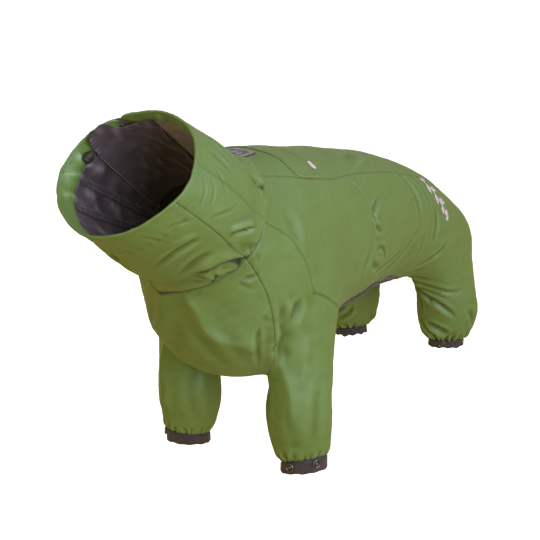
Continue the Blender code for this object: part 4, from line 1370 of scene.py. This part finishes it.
inside = Cloth(["collar_facing", "collar_lining"], spacing=2.6 * MM, towards=MOUTH)
inner_skin = Skin(inside)
INNER_FOLDS = [
    # folds of the facing and the lining, without their chart; what rises stands into the hollow
    ("ridge", 4.3, 3.4, 0.3, 0.4, [(0.02, 262), (0.10, 268), (0.26, 272)]),
    ("ridge", 3.6, 2.8, 0.3, 0.4, [(0.03, 246), (0.12, 250), (0.24, 248)]),
    ("lap", 5.0, 3.6, 0.3, 0.4, [(0.04, 286), (0.14, 282), (0.26, 286)]),
    ("ridge", 4.3, 3.0, 0.3, 0.4, [(0.02, 4), (0.12, 0), (0.24, 4)]),
    ("ridge", 3.6, 2.6, 0.3, 0.4, [(0.03, 24), (0.12, 26), (0.22, 22)]),
    ("ridge", 9.0, 4.0, 0.4, 0.4, [(0.26, 256), (0.36, 260), (0.46, 258)]),
    ("valley", 7.0, 3.0, 0.4, 0.4, [(0.44, 264), (0.52, 260), (0.62, 256)]),
    ("ridge", 9.0, 4.4, 0.4, 0.4, [(0.60, 268), (0.72, 262), (0.84, 266)]),
    ("ridge", 8.0, 3.4, 0.4, 0.4, [(0.24, 286), (0.32, 282), (0.44, 286)]),
    ("ridge", 9.0, 3.8, 0.4, 0.4, [(0.30, 232), (0.46, 226), (0.70, 232)]),
    ("valley", 8.0, 3.2, 0.4, 0.4, [(0.34, 210), (0.52, 206), (0.74, 212)]),
    ("ridge", 8.0, 3.4, 0.4, 0.4, [(0.30, 40), (0.46, 52), (0.62, 56)]),
    ("valley", 7.0, 3.2, 0.4, 0.4, [(0.50, 20), (0.60, 34), (0.66, 50)]),
    ("ridge", 9.0, 3.8, 0.4, 0.4, [(0.24, 180), (0.46, 186), (0.70, 178)]),
    ("ridge", 9.0, 3.4, 0.4, 0.4, [(0.28, 130), (0.48, 124), (0.70, 130)]),
]


def collar_place(points):
    """The share from the rim to the neck, and the angle from the top, of some points."""
    axis = np.array(COLLAR_AXIS[1] - COLLAR_AXIS[0])
    along = (points / MM - np.array(COLLAR_AXIS[0])) @ axis / (axis @ axis)
    middle = np.array(COLLAR_AXIS[0]) + along[:, None] * axis
    rim_top, neck_top = (np.array(top) for top in COLLAR_TOPS)
    top = rim_top * (1 - along[:, None]) + neck_top * along[:, None]
    arm = points / MM - middle
    return along, np.degrees(np.arctan2(arm[:, 0], (arm * top).sum(1)))


def shape_inside():
    """The relief of the facing and the lining, and a painted highlight on a stretch on the wearer's
    left.
    """
    still = inner_skin.still
    height = 0.9 + 0.9 * waves(still, 44, 21) + 0.55 * waves(still, 22, 22)
    sideways = np.zeros((len(still), 3))
    for fold in on_collar(INNER_FOLDS):
        close, rise, lean, _ = fold_height(inner_skin, fold)
        height[close] += rise
        sideways[close] += lean
    height = np.maximum(height, -0.3)
    height += 0.4 * np.minimum(seam_height(inside), 0)
    inside.points = still + (inner_skin.normals * height[:, None] + sideways) * MM
    inside.relax(1, pull=0.3)
    # painted shade in the creases and painted highlight on the crests, and a painted highlight on
    # the stretch below
    inside.mark_painted_shade(still, inner_skin.normals, 1.4 * MM)
    along, angle = collar_place(still)
    painted_light_stretch = np.clip((angle + 13) / 2.5, 0, 1) * np.clip((80 - angle) / 6, 0, 1)
    inside.creases = np.clip(inside.creases * (1 - 0.6 * painted_light_stretch) - 1.0 * painted_light_stretch, -1.4, 1)


def caught_at_rim(line, reach=16 * MM, own=9 * MM):
    """Brings the facing's outer edge onto the collar's edge, fading out over the reach."""
    near_line = tree_of(line)
    edge = [number for number in np.unique(inside.open_edges)
            if near_line.find(inside.points[number])[2] < own]
    near_edge = tree_of(inside.points, edge)
    shift = {int(number): np.array(near_line.find(inside.points[number])[0])
             - inside.points[number] for number in edge}
    moved = inside.points.copy()
    for number, point in enumerate(inside.points):
        _, nearest, distance = near_edge.find(point)
        if distance < reach:
            moved[number] += shift[nearest] * eased(1 - distance / reach)
    inside.points = moved


shape_inside()
caught_at_rim(rim + to_middle * 1.5 * MM + COLLAR_WAY * 0.6 * MM)
hollow_side = Surface(inside.points, inside.quads)
for number, (node, material, slot) in enumerate((("collar_facing", FACING_PAINTED_LIGHTER, "shell_cloth"),
                                                 ("collar_lining", TAFFETA, "lining"))):
    points, quads, creases = piece_of(inside, number)
    cloth_piece(node + "_cloth", points, quads, [material], slot, 0.5 * MM, node, creases)

tapes = []
for node in ("seam_tape_top_left", "seam_tape_low_left", "seam_tape_top_right",
             "seam_tape_low_right"):
    tape = Cloth([node], spacing=1.8 * MM, towards=MOUTH)
    places, normals = hollow_side.laid(tape.points)
    ripple = 0.35 * waves(places, 6, 33) + 0.2 * waves(places, 15, 34)
    tape.points = places + normals * (1.15 + ripple)[:, None] * MM
    cloth_piece(node + "_cloth", tape.points, tape.quads, [TAPE], "lining", 0.6 * MM, node)
    tapes.append(tape)


def zigzag(line, surface, pitch, reach, lift):
    """A line that runs to and fro across another, on a surface."""
    fine = even_line(line, pitch / 2)
    places, normals = surface.laid(fine)
    swing = np.where(np.arange(len(fine)) % 2, 1.0, -1.0) * reach
    return places + across_line(places, normals) * swing[:, None] + normals * lift


teeth = []                   # the rows of small teeth sewn along each tape
for tape in tapes:
    along, angle = collar_place(tape.points)
    steps = np.arange(along.min() + 0.01, along.max() - 0.01, 0.03)
    middle = np.array([tape.points[np.abs(along - step) < 0.03].mean(0) for step in steps])
    tape_side = Surface(tape.points, tape.quads)
    for offset in (-2.6, 2.6):
        teeth.append(zigzag(tape_side.beside(middle, offset * MM, 0), tape_side, 2.4 * MM,
                            1.3 * MM, 0.2 * MM))
add_piece("tape_teeth", *tube(teeth, 0.26 * MM, 5), [DARK_THREAD], "lining")

GUARD_LIFT = 1.5 * MM        # the guard's least height over the lining
GUARD_EDGE = (-66, -74)      # the angles of its free edge at the rim and at the neck
EDGE_BREADTH = 3.2           # degrees to each side of it within which points are on that edge
EDGE_START = -0.2            # share of the way in from the rim; further out is the tongue's end
PIPED_FROM = 0.26            # the same, where the green piping starts
guard = Cloth(["zip_guard"], spacing=1.3 * MM, towards=MOUTH)


def guard_edge():
    """The stretch of the guard's outline that hangs free, from the rim inwards."""
    loop = max(in_order(guard.open_edges), key=len)
    along, angle = collar_place(guard.points[loop])
    first, last = GUARD_EDGE
    on_it = ((np.abs(angle - (first + (last - first) * along)) < EDGE_BREADTH)
             & (along > EDGE_START))
    start = int(np.flatnonzero(~on_it)[0])
    order = np.roll(np.arange(len(loop)), -start)
    line = guard.points[[loop[index] for index in order if on_it[index]]]
    return line if collar_place(line[:1])[0][0] < collar_place(line[-1:])[0][0] else line[::-1]


def shape_guard():
    """The guard lies on the lining's relief, puckered along its free edge."""
    edge = guard_edge()
    near = tree_of(edge)
    reach = np.concatenate([[0], np.cumsum(np.linalg.norm(np.diff(edge, axis=0), axis=1))])
    normals = guard.normals()
    moved = guard.points.copy()
    soft = 1.3 * waves(guard.points, 34, 51) + 0.7 * waves(guard.points, 14, 52)
    for number, point in enumerate(guard.points):
        place, normal, _, distance = hollow_side.tree.find_nearest(Vector(point))
        _, nearest, off = near.find(point)
        run = reach[nearest] / MM
        pucker = ((1.3 * math.sin(run / 0.95 + 0.8 * math.sin(run / 4.1))
                   * (0.6 + 0.4 * math.sin(run / 3.7 + 1))) * math.exp(-off / (6 * MM)))
        moved[number] += normals[number] * (0.6 + soft[number] + pucker) * MM
        height = (moved[number] - np.array(place)) @ np.array(normal)
        if distance < 9 * MM and height < GUARD_LIFT:
            moved[number] += np.array(normal) * (GUARD_LIFT - height)
    flat = guard.points
    guard.points = moved
    guard.relax(1, pull=0.4)
    # painted shade in the guard's creases and painted highlight on its crests
    guard.mark_painted_shade(flat, normals, 0.8 * MM)


shape_guard()
cloth_piece("zip_guard_cloth", guard.points, guard.quads, [TAFFETA], "lining", 0.6 * MM,
            "zip_guard", guard.creases)
guard_side = Surface(guard.points, guard.quads)
free_edge = even_line(guard_edge(), 1.5 * MM)
round_piece("guard_binding", [free_edge], 0.55 * MM, TAPE, "lining", 6, wobble=0.2)
deep_edge = free_edge[collar_place(free_edge)[0] > PIPED_FROM]
deep_edge = deep_edge + guard_side.laid(deep_edge)[1] * 0.55 * MM
round_piece("guard_piping", [deep_edge], 0.42 * MM, PIPING, "shell_cloth", 6, wobble=0.15)
beyond_edge = collar_place(guard_side.beside(free_edge, 2 * MM, 0))[1].mean()
inner_way = 1 if beyond_edge > collar_place(free_edge)[1].mean() else -1
stitched("guard_stitches", [guard_side.beside(free_edge, inner_way * 1.9 * MM, 0.1 * MM)],
         (2.3, 1.4, 0.4), DARK_THREAD)


# ---------------------------------------------------------------- turned and moulded pieces

def turned(profile, place, axis, steps=28):
    """Points and faces of a profile spun round an axis. The profile is (radius, height) in
    millimetres from the base up, and starts and ends on the axis."""
    place, axis = Vector(place), Vector(axis).normalized()
    side = axis.orthogonal().normalized()
    other = axis.cross(side)
    points = [place + axis * profile[0][1] * MM]
    for radius, height in profile[1:-1]:
        for step in range(steps):
            turn = 2 * math.pi * step / steps
            arm = side * math.cos(turn) + other * math.sin(turn)
            points.append(place + (axis * height + arm * radius) * MM)
    points.append(place + axis * profile[-1][1] * MM)
    faces = ring_faces(len(profile) - 2, steps, 1)
    tip = len(points) - 1
    for step in range(steps):
        onward = (step + 1) % steps
        faces += [(0, 1 + onward, 1 + step), (tip - steps + step, tip - steps + onward, tip)]
    return points, faces


def node_points(node):
    """The corners of a CAD node."""
    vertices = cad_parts[node].data.vertices
    points = np.zeros(len(vertices) * 3)
    vertices.foreach_get("co", points)
    return np.unique(points.reshape(-1, 3).round(6), axis=0)


def thin_axis(node, outward=None):
    """The middle of a node, and its longest and shortest ways."""
    points = node_points(node)
    middle = (points.min(0) + points.max(0)) / 2
    ways = np.linalg.svd(points - points.mean(0))[2]
    short = ways[2]
    if outward is not None and short @ outward < 0:
        short = -short
    return middle, ways[0], short


SNAP_RING = [(0, 0.0), (5.0, 0.0), (5.5, 0.25), (5.7, 0.8), (5.65, 1.35), (5.4, 1.8), (5.1, 1.98),
             (4.8, 1.9), (4.6, 1.6), (4.5, 1.1), (4.4, 0.7), (0, 0.6)]
SNAP_SOCKET = [(0, 0.62), (4.3, 0.66), (4.25, 0.9), (3.8, 1.1), (3.2, 0.98), (2.9, 0.78),
               (2.0, 0.78), (1.9, 0.8), (0, 0.8)]
SNAP_STUD = [(0, 0.8), (1.7, 0.8), (1.65, 1.3), (1.4, 1.75), (0.95, 1.95), (0.5, 1.9), (0, 1.85)]


def snap(node):
    """A ring snap: a rolled metal ring round a dark socket with a small stud."""
    cuff = next(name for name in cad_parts
                if name.startswith("cuff") and name[5:] == node[5:-2])
    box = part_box(cuff)
    outward = np.array(sum(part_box(node), Vector()) / 2 - sum(box, Vector()) / 2) * (1, 1, 0)
    middle, _, axis = thin_axis(node, outward)
    points = node_points(node)
    base = settled([middle + axis * ((points - middle) @ axis).min()])[0]
    add_piece(node + "_ring", *turned(SNAP_RING, base, axis), [METAL], "snap_metal",
              replaces=[node])
    add_piece(node + "_socket", *turned(SNAP_SOCKET, base, axis), [PLASTIC], "snap_metal")
    add_piece(node + "_stud", *turned(SNAP_STUD, base, axis, 16), [METAL], "snap_metal")


for node in list(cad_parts):
    if node.startswith("snap_"):
        snap(node)


def cord_lock():
    """A small barrel toggle with grip ribs and a press button."""
    middle, long_way, _ = thin_axis("cord_lock")
    axis = Vector(long_way if long_way[2] > 0 else -long_way)
    foot = -6.8
    profile = [(0, foot), (3.6, foot), (4.9, foot + 0.5), (5.5, foot + 1.6)]
    for rib in range(5):
        height = foot + 2.4 + rib * 1.35
        profile += [(5.75, height), (5.75, height + 0.55), (5.35, height + 0.75),
                    (5.35, height + 1.15)]
    profile += [(5.5, 2.6), (5.1, 3.3), (4.0, 3.6), (3.5, 3.7), (3.4, 5.9), (3.1, 6.5), (2.2, 6.8),
                (0, 6.8)]
    add_piece("cord_lock_barrel", *turned(profile, middle, axis, 32), [PLASTIC], "hard_plastic",
              replaces=["cord_lock"])


cord_lock()


# ---------------------------------------------------------------- cuffs

LONGEST_HEM = 400            # points; a longer open edge is the collar's or the rear's
HEM_LOOPS = [loop for loop in in_order(shell.open_edges) if len(loop) < LONGEST_HEM]
CUFF_COLUMNS = 168
STITCHED_ROW = 9             # the row of a cuff that its stitches follow
CUFF_ROWS = [
    # share of the way down, turned up mm, further in mm
    (0.0, 0, 0), (0.12, 0, 0), (0.22, 0, 0), (0.30, 0, 0), (0.38, 0, 0), (0.48, 0, 0),
    (0.6, 0, 0), (0.72, 0, 0), (0.84, 0, 0), (0.93, 0, 0), (0.98, 0, 0.25), (1.0, 0, 1.0),
    (1.0, 1.2, 1.7), (1.0, 5.0, 2.0),
]


def cuff_cloth(node, scallop, seed):
    """An elastic band sewn inside the leg's hem and turned under at its lower edge."""
    low, high = (np.array(corner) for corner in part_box(node))
    middle, radius = (low + high) / 2, (high[0] - low[0]) / 2
    loop = min(HEM_LOOPS, key=lambda numbers: np.linalg.norm(
        skin.still[numbers].mean(0) - middle))
    hem = skin.still[loop] - middle
    angle = np.arctan2(hem[:, 1], hem[:, 0])
    order = np.argsort(angle)
    turns = np.linspace(-math.pi, math.pi, CUFF_COLUMNS, endpoint=False)
    hem_reach = np.interp(turns, angle[order], np.hypot(hem[:, 0], hem[:, 1])[order],
                          period=2 * math.pi)
    hem_height = np.interp(turns, angle[order], hem[order, 2], period=2 * math.pi)
    shift = np.random.default_rng(seed).uniform(0, 6, 5)
    ripple = (0.5 * np.sin(7 * turns + shift[0]) + 0.4 * np.sin(15 * turns + shift[1])
              + 0.3 * np.sin(24 * turns + shift[2]))
    bottom = low[2] - middle[2] + scallop * MM * (0.8 * np.sin(11 * turns + shift[3])
                                                  + 0.5 * np.sin(5 * turns + shift[4]))
    rows = []
    for share, turned_up, inner in CUFF_ROWS:
        top = hem_height + 4.0 * MM
        height = top + (bottom - top) * share + turned_up * MM
        outer = radius + (0.1 + scallop * share) * ripple * MM
        under = np.clip((height - hem_height + 3.4 * MM) / (3.0 * MM), 0, 1)
        reach = outer + (np.minimum(hem_reach, outer) - 2.7 * MM - outer) * under
        reach = reach - inner * MM
        rows.append(middle + np.stack([reach * np.cos(turns), reach * np.sin(turns), height], 1))
    points = settled(np.concatenate(rows))
    quads = [face[:1] + face[:0:-1] for face in ring_faces(len(rows), CUFF_COLUMNS)]
    around = np.arctan2(points[:, 1] - middle[1], points[:, 0] - middle[0]) * radius
    add_piece(node + "_band", points, quads, [CUFF_CLOTH], "binding", 0.9 * MM,
              np.stack([around, points[:, 2]], 1), [node])
    band = Surface(points, np.array(quads))
    first = STITCHED_ROW * CUFF_COLUMNS
    row = points[first:first + CUFF_COLUMNS] + np.array((0, 0, 0.9 * MM))
    seam = band.laid(np.concatenate([row, row[:1]]), 0.1 * MM)[0]
    stitched(node + "_stitches", [seam], (2.2, 1.6, 0.35), DARK_THREAD)


for number, (node, scallop) in enumerate((("cuff_front_left", 0.45), ("cuff_front_right", 0.5),
                                          ("cuff_rear_left", 0.9), ("cuff_rear_right", 1.5))):
    cuff_cloth(node, scallop, 61 + number)


# ---------------------------------------------------------------- what lies on the back

ABOVE = Vector((0, 40, 600)) * MM


def laid_cloth(node, lift, spacing, materials, slot, wall):
    """A piece of cloth that lies on the shell's relief. Lift, spacing and wall are in mm."""
    cloth = Cloth([node], spacing * MM, smoothing=6, towards=ABOVE)
    places, normals = outside.laid(cloth.points)
    cloth.points = places + normals * lift * MM
    cloth.relax(2)
    cloth_piece(node + "_cloth", cloth.points, cloth.quads, materials, slot, wall * MM, node)
    return cloth


flap = laid_cloth("leash_flap", 1.35, 1.7, [NYLON, BACKING], "shell_cloth", 1.0)
flap_side = Surface(flap.points, flap.quads)
outline = max(in_order(flap.open_edges), key=len)
outline = even_line(flap.points[outline + outline[:1]], 2 * MM)
# the flap's rolled edge, in pale olive: the roll is the flap's edge, its paleness a painted
# highlight
round_piece("leash_flap_edge", [outline[:-1] - flap_side.laid(outline[:-1])[1] * 0.5 * MM],
            0.62 * MM, PIPING, "shell_cloth", closed=True)
middle = flap.points.mean(0)
inner_rows = []
for offset in (2.4, 4.6):
    both = [flap_side.beside(outline, side * offset * MM, 0.1 * MM) for side in (1, -1)]
    inner_rows.append(min(both, key=lambda row: np.linalg.norm(row - middle, axis=1).mean()))
stitched("leash_flap_stitches", inner_rows, SEAM_STITCH)
laid_cloth("flap_tag", 2.3, 1.2, [pale_tape()], "pale_tape", 0.7)
label = laid_cloth("neck_label", 1.1, 1.5, [LABEL_WEAVE], "label_weave", 0.8)
label_side = Surface(label.points, label.quads)


def label_border():
    """Two fine frames and a row of small lozenges, woven in pale thread."""
    low, high = label.points.min(0) / MM, label.points.max(0) / MM
    frames = []
    for inset in (2.6, 4.2):
        corners = [(low[0] + inset, low[1] + inset), (high[0] - inset, low[1] + inset),
                   (high[0] - inset, high[1] - inset), (low[0] + inset, high[1] - inset)]
        line = []
        for one, other in zip(corners, corners[1:] + corners[:1]):
            count = int(math.dist(one, other) / 1.5)
            line += [(one[0] + (other[0] - one[0]) * step / count,
                      one[1] + (other[1] - one[1]) * step / count) for step in range(count)]
        frames.append(line + line[:1])
    centre = (low[1] + high[1]) / 2
    for number in range(5):
        x = (low[0] + high[0]) / 2 + (number - 2) * 8.5
        lozenge = [(x - 3, centre), (x, centre + 6), (x + 3, centre), (x, centre - 6),
                   (x - 3, centre)]
        frames.append([(a[0] + (b[0] - a[0]) * step / 4, a[1] + (b[1] - a[1]) * step / 4)
                       for a, b in zip(lozenge, lozenge[1:]) for step in range(4)] + lozenge[:1])
    return [label_side.laid([(x * MM, y * MM, high[2] * MM) for x, y in line], 0.1 * MM, 0.05)[0]
            for line in frames]


stitched("neck_label_border", label_border(), (1.3, 1.25, 0.5), PALE_THREAD)


# ---------------------------------------------------------------- the zip

def run_of(points):
    """How far to the tail points lie, along the slope of the zip."""
    return points[:, 1] - SLOPE * points[:, 2]


def middle_line(points, spacing):
    """A line through a long narrow band's points, from head to tail."""
    run = run_of(points)
    steps = np.arange(run.min(), run.max(), spacing)
    return np.array([points[np.abs(run - step) < spacing].mean(0) for step in steps])


def tape_under(points, normals):
    """The zip's tape: wider than its chain, sunk under the cloth beside it, and longer."""
    line = middle_line(points, 6 * MM)
    run = run_of(points)
    out = points[:, 0] - np.interp(run, run_of(line), line[:, 0])
    sunk = np.clip(np.abs(out) / (3 * MM), 0, 1) ** 4
    tail = np.clip(1 - (run.max() - run) / (9 * MM), 0, 1)
    onward = unit(line[-1] - line[-3])
    moved = points - normals * (sunk * 1.1 * MM)[:, None] + onward * (tail * 5 * MM)[:, None]
    moved[:, 0] += (0.75 + 1.6 * tail) * out
    return moved


chain = Cloth(["zip_chain"], 2.0 * MM, smoothing=6, towards=ABOVE)
chain.points = skin.carried(chain.points) - chain.normals() * 0.5 * MM
chain.points = tape_under(chain.points, chain.normals())
cloth_piece("zip_tape", chain.points, chain.quads, [TAPE], "zip", 0.7 * MM, "zip_chain")
chain_side = Surface(chain.points, chain.quads)
coil_line = even_line(middle_line(chain.points, 6 * MM), 5 * MM)
stitched("zip_coil", [chain_side.beside(coil_line, offset * MM, 0.35 * MM)
                      for offset in (-0.9, 0.9)], (1.35, 0.95, 1.9), PLASTIC)


def lofted(rings):
    """Points and faces of a closed form through rings of as many points each."""
    count = len(rings[0])
    points = [point for ring in rings for point in ring]
    caps = [tuple(range(count))[::-1], tuple(range(len(points) - count, len(points)))]
    return points, ring_faces(len(rings), count) + caps


def rounded(half_across, half_along, squareness=0.75, waist=0.0, steps=32):
    """An outline with rounded corners, drawn in a little at its waist."""
    turns = np.arange(steps) * 2 * math.pi / steps
    across = half_across * np.sign(np.cos(turns)) * np.abs(np.cos(turns)) ** squareness
    along = half_along * np.sign(np.sin(turns)) * np.abs(np.sin(turns)) ** squareness
    return across * (1 - waist * (1 - (along / half_along) ** 2)), along


SLIDER_BODY = [
    # half across, half along, height, mm
    (3.3, 4.7, 0.1), (4.0, 5.4, 0.45), (4.15, 5.55, 0.9), (4.05, 5.45, 1.35), (3.5, 4.9, 1.75),
    (2.3, 4.1, 2.0), (0.9, 2.6, 2.1),
]
PULL_GRIP = [
    # share of the way along the pull, half across, half thick, mm
    (0.42, 1.5, 0.8), (0.45, 2.0, 1.1), (0.52, 2.3, 1.2), (0.56, 2.15, 0.95), (0.60, 2.35, 1.2),
    (0.66, 2.2, 0.95), (0.70, 2.45, 1.2), (0.76, 2.3, 0.95), (0.80, 2.5, 1.2), (0.90, 2.5, 1.15),
    (0.96, 2.1, 0.95), (0.99, 1.3, 0.6),
]


def zip_slider():
    """The slider's body with its bridge, and a soft pull on a doubled cord."""
    own = node_points("zip_slider")
    middle = own.mean(0)
    nearest = int(np.linalg.norm(coil_line - middle, axis=1).argmin())
    along = unit(coil_line[min(nearest + 1, len(coil_line) - 1)]
                 - coil_line[max(nearest - 1, 0)])
    up = chain_side.laid([middle])[1][0]
    up = unit(up - along * (up @ along))
    across = np.cross(along, up)
    base = middle + up * ((own - middle) @ up).min()
    rings = []
    for half_across, half_along, height in SLIDER_BODY:
        x, y = rounded(half_across, half_along, waist=0.16)
        rings.append(base + (x[:, None] * across + y[:, None] * along + height * up) * MM)
    add_piece("zip_slider_body", *lofted([ring[::-1] for ring in rings]), [METAL], "snap_metal",
              replaces=["zip_slider"])
    turns = np.linspace(0, math.pi, 15)
    arch = [base + (along * 3.1 * math.cos(turn) + up * (1.7 + 1.9 * math.sin(turn))) * MM
            for turn in turns]
    add_piece("zip_slider_bridge", *tube([np.array(arch)], 0.62 * MM), [METAL], "snap_metal")

    pull = node_points("zip_pull")
    start, end = base + along * 5.2 * MM, pull[np.argmax((pull - base) @ along)]
    reach = (end - start) @ along
    run = [base + (up * 3.0 + along * 0.4) * MM]
    run += [chain_side.laid([start + along * reach * share], 1.7 * MM)[0][0]
            for share in (0.12, 0.25, 0.4, 0.55)]
    cord = even_line(np.array(run), 1.2 * MM)
    round_piece("zip_pull_cord", [cord + across * offset * MM for offset in (-0.85, 0.85)],
                0.75 * MM, CUFF_CLOTH, "binding", replaces=["zip_pull"], wobble=0.08)
    rings = []
    for share, half_wide, half_thick in PULL_GRIP:
        place = chain_side.laid([start + along * reach * share], 1.75 * MM)[0][0]
        x, y = rounded(half_wide, half_thick, 0.7, steps=20)
        rings.append(place + (x[:, None] * across + y[:, None] * up) * MM)
    add_piece("zip_pull_grip", *lofted(rings), [PLASTIC], "hard_plastic")


zip_slider()


def rear_binding():
    """The elastic binding round the open rear, rippled by its own pull."""
    band = Cloth(["rear_binding"], 1.8 * MM, smoothing=4)
    normals = band.normals()
    band.points = skin.carried(band.points)
    ripple = 0.5 * waves(band.points, 9, 71) + 0.35 * waves(band.points, 22, 72)
    band.points += normals * ripple[:, None] * MM
    inward = outside.laid(band.points, -0.6 * MM)[0] - band.points
    reach = np.linalg.norm(inward, axis=1)
    band.points += inward * np.clip(2.8 - reach / MM, 0, 1)[:, None]
    cloth_piece("rear_binding_cloth", band.points, band.quads, [CUFF_CLOTH], "binding", 1.0 * MM,
                "rear_binding")


rear_binding()


# ---------------------------------------------------------------- the print on the thigh

SPRIG_STEM = [(301, 50), (318, 58), (332, 68), (344, 80)]
SPRIG_LEAVES = [
    # share along the stem, side, length mm, turn from the stem in degrees
    (0.06, 1, 15, 48), (0.20, -1, 17, 44), (0.34, 1, 18, 42), (0.50, -1, 17, 40),
    (0.64, 1, 15, 38), (0.78, -1, 13, 34), (0.90, 1, 10, 30), (1.0, 1, 9, 0),
]


def sprig():
    """A leafy sprig printed on the thigh: a stem with leaves on alternate sides."""
    stem = skin.carried(skin.path("body", SPRIG_STEM, 1.5 * MM))
    stem, normals = outside.laid(stem)
    ways = unit(np.gradient(stem, axis=0))
    points, faces = [], []

    def strip(middle, across, half_widths):
        first = len(points)
        for place, way, half in zip(middle, across, half_widths):
            points.extend([place - way * half * MM, place, place + way * half * MM])
        for row in range(len(middle) - 1):
            here, onward = first + 3 * row, first + 3 * row + 3
            for column in (0, 1):
                faces.append((here + column, here + column + 1, onward + column + 1,
                              onward + column))

    strip(stem, np.cross(ways, normals), 1.3 + 0.6 * np.linspace(1, 0, len(stem)))
    for share, side, length, turn in SPRIG_LEAVES:
        number = int(round(share * (len(stem) - 1)))
        place, way, normal = stem[number], ways[number], normals[number]
        turn = math.radians(turn) * side
        way = way * math.cos(turn) + np.cross(normal, way) * math.sin(turn)
        steps = np.linspace(0, 1, 12)
        bend = np.cross(normal, way) * side
        middle = np.array([place + (way * step * length - bend * step * step * length * 0.12) * MM
                           for step in steps])
        middle = outside.laid(middle)[0]
        half = 0.3 + 4.6 * np.sin(math.pi * steps ** 0.8) ** 0.9
        strip(middle, [np.cross(way, normal)] * len(steps), half)
    add_piece("thigh_sprig", outside.laid(points, 0.28 * MM)[0], [face[::-1] for face in faces],
              [pale_print()], "pale_tape", 0.2 * MM)


sprig()


# ---------------------------------------------------------------- floor, light, camera

def stage_piece(name, bm, finish):
    """A plain backdrop piece that the camera sees and that lights nothing by itself."""
    mesh = bpy.data.meshes.new(name)
    bm.to_mesh(mesh)
    bm.free()
    mesh.materials.append(finish.material)
    piece = placed(name, mesh)
    piece.visible_diffuse = piece.visible_glossy = piece.visible_transmission = False
    piece.visible_shadow = False


def build_stage():
    """A white floor and backdrop, a soft light tent that is dim above, and four lamps."""
    paper = Finish("white paper", Roughness=0.9, Emission_Color=(1, 1, 1, 1),
                   Emission_Strength=1.0)
    paper.colour(paper.ramp(paper.noise(3), [(0.3, srgb(196, 196, 196)),
                                             (0.7, srgb(200, 200, 200))]))
    bm = bmesh.new()
    bmesh.ops.create_circle(bm, cap_ends=True, segments=96, radius=12)
    bm.transform(Matrix.Translation((0, 0, CAD_BOX[0].z - 0.05)))
    stage_piece("floor", bm, paper)
    sky_paper = Finish("backdrop paper", Roughness=1.0, Emission_Color=(1, 1, 1, 1),
                       Emission_Strength=1.2)
    bm = bmesh.new()
    bmesh.ops.create_uvsphere(bm, u_segments=64, v_segments=32, radius=13)
    bmesh.ops.reverse_faces(bm, faces=bm.faces)
    stage_piece("backdrop", bm, sky_paper)

    world = bpy.data.worlds.new("studio")
    world.use_nodes = True
    nodes, links = world.node_tree.nodes, world.node_tree.links
    place = nodes.new("ShaderNodeTexCoord")
    split = nodes.new("ShaderNodeSeparateXYZ")
    ramp = nodes.new("ShaderNodeValToRGB")
    rise = nodes.new("ShaderNodeMapRange")
    rise.inputs["From Min"].default_value = -1
    links.new(place.outputs["Generated"], split.inputs[0])
    links.new(split.outputs["Z"], rise.inputs["Value"])
    links.new(rise.outputs["Result"], ramp.inputs["Fac"])
    stops = [(0.0, (0.56, 0.38, 0.10, 1)), (0.45, (0.58, 0.41, 0.12, 1)),
             (0.60, (0.48, 0.38, 0.18, 1)), (1.0, (0.36, 0.32, 0.20, 1))]
    set_stops(ramp, stops)
    links.new(ramp.outputs["Color"], nodes["Background"].inputs["Color"])
    bpy.context.scene.world = world

    middle = Vector((0, 0.06, -0.14))
    for name, azimuth, elevation, distance, size, power, tint in (
            ("key", 66, 22, 2.0, 1.5, 39, (0.95, 1.0, 1.26)),
            ("rim", -110, 18, 1.7, 0.6, 12, (1.0, 1.0, 1.0)),
            ("top", 150, 50, 1.8, 0.9, 3, (1.0, 1.0, 0.98)),
            ("fill", 8, 6, 1.9, 1.0, 4.5, (1.0, 0.95, 0.5))):
        lamp = bpy.data.lights.new(name, "AREA")
        lamp.energy, lamp.size, lamp.color = power, size, tint
        stand(placed(name, lamp), middle, azimuth, elevation, distance)


def view_way(azimuth, elevation):
    """The direction from the object to a camera or lamp. Azimuth 0 stands before the head."""
    turn, rise = math.radians(azimuth), math.radians(elevation)
    return Vector((math.sin(turn) * math.cos(rise), -math.cos(turn) * math.cos(rise),
                   math.sin(rise)))


def stand(holder, middle, azimuth, elevation, distance):
    """Puts a lamp or camera at a distance from a place that it looks at."""
    back = view_way(azimuth, elevation)
    holder.location = middle + back * distance
    holder.rotation_euler = back.to_track_quat("Z", "Y").to_euler()


def build_camera():
    """A long lens, a little above the garment and to the wearer's left of its head."""
    lens = bpy.data.cameras.new("camera")
    lens.sensor_width, lens.lens = 36, 66.7
    camera = placed("camera", lens)
    stand(camera, Vector((0, 0.0235, -0.1605)), 32.0, 14.7, 1.297)
    bpy.context.scene.camera = camera


build_stage()
build_camera()
bpy.context.scene.view_settings.view_transform = "Standard"
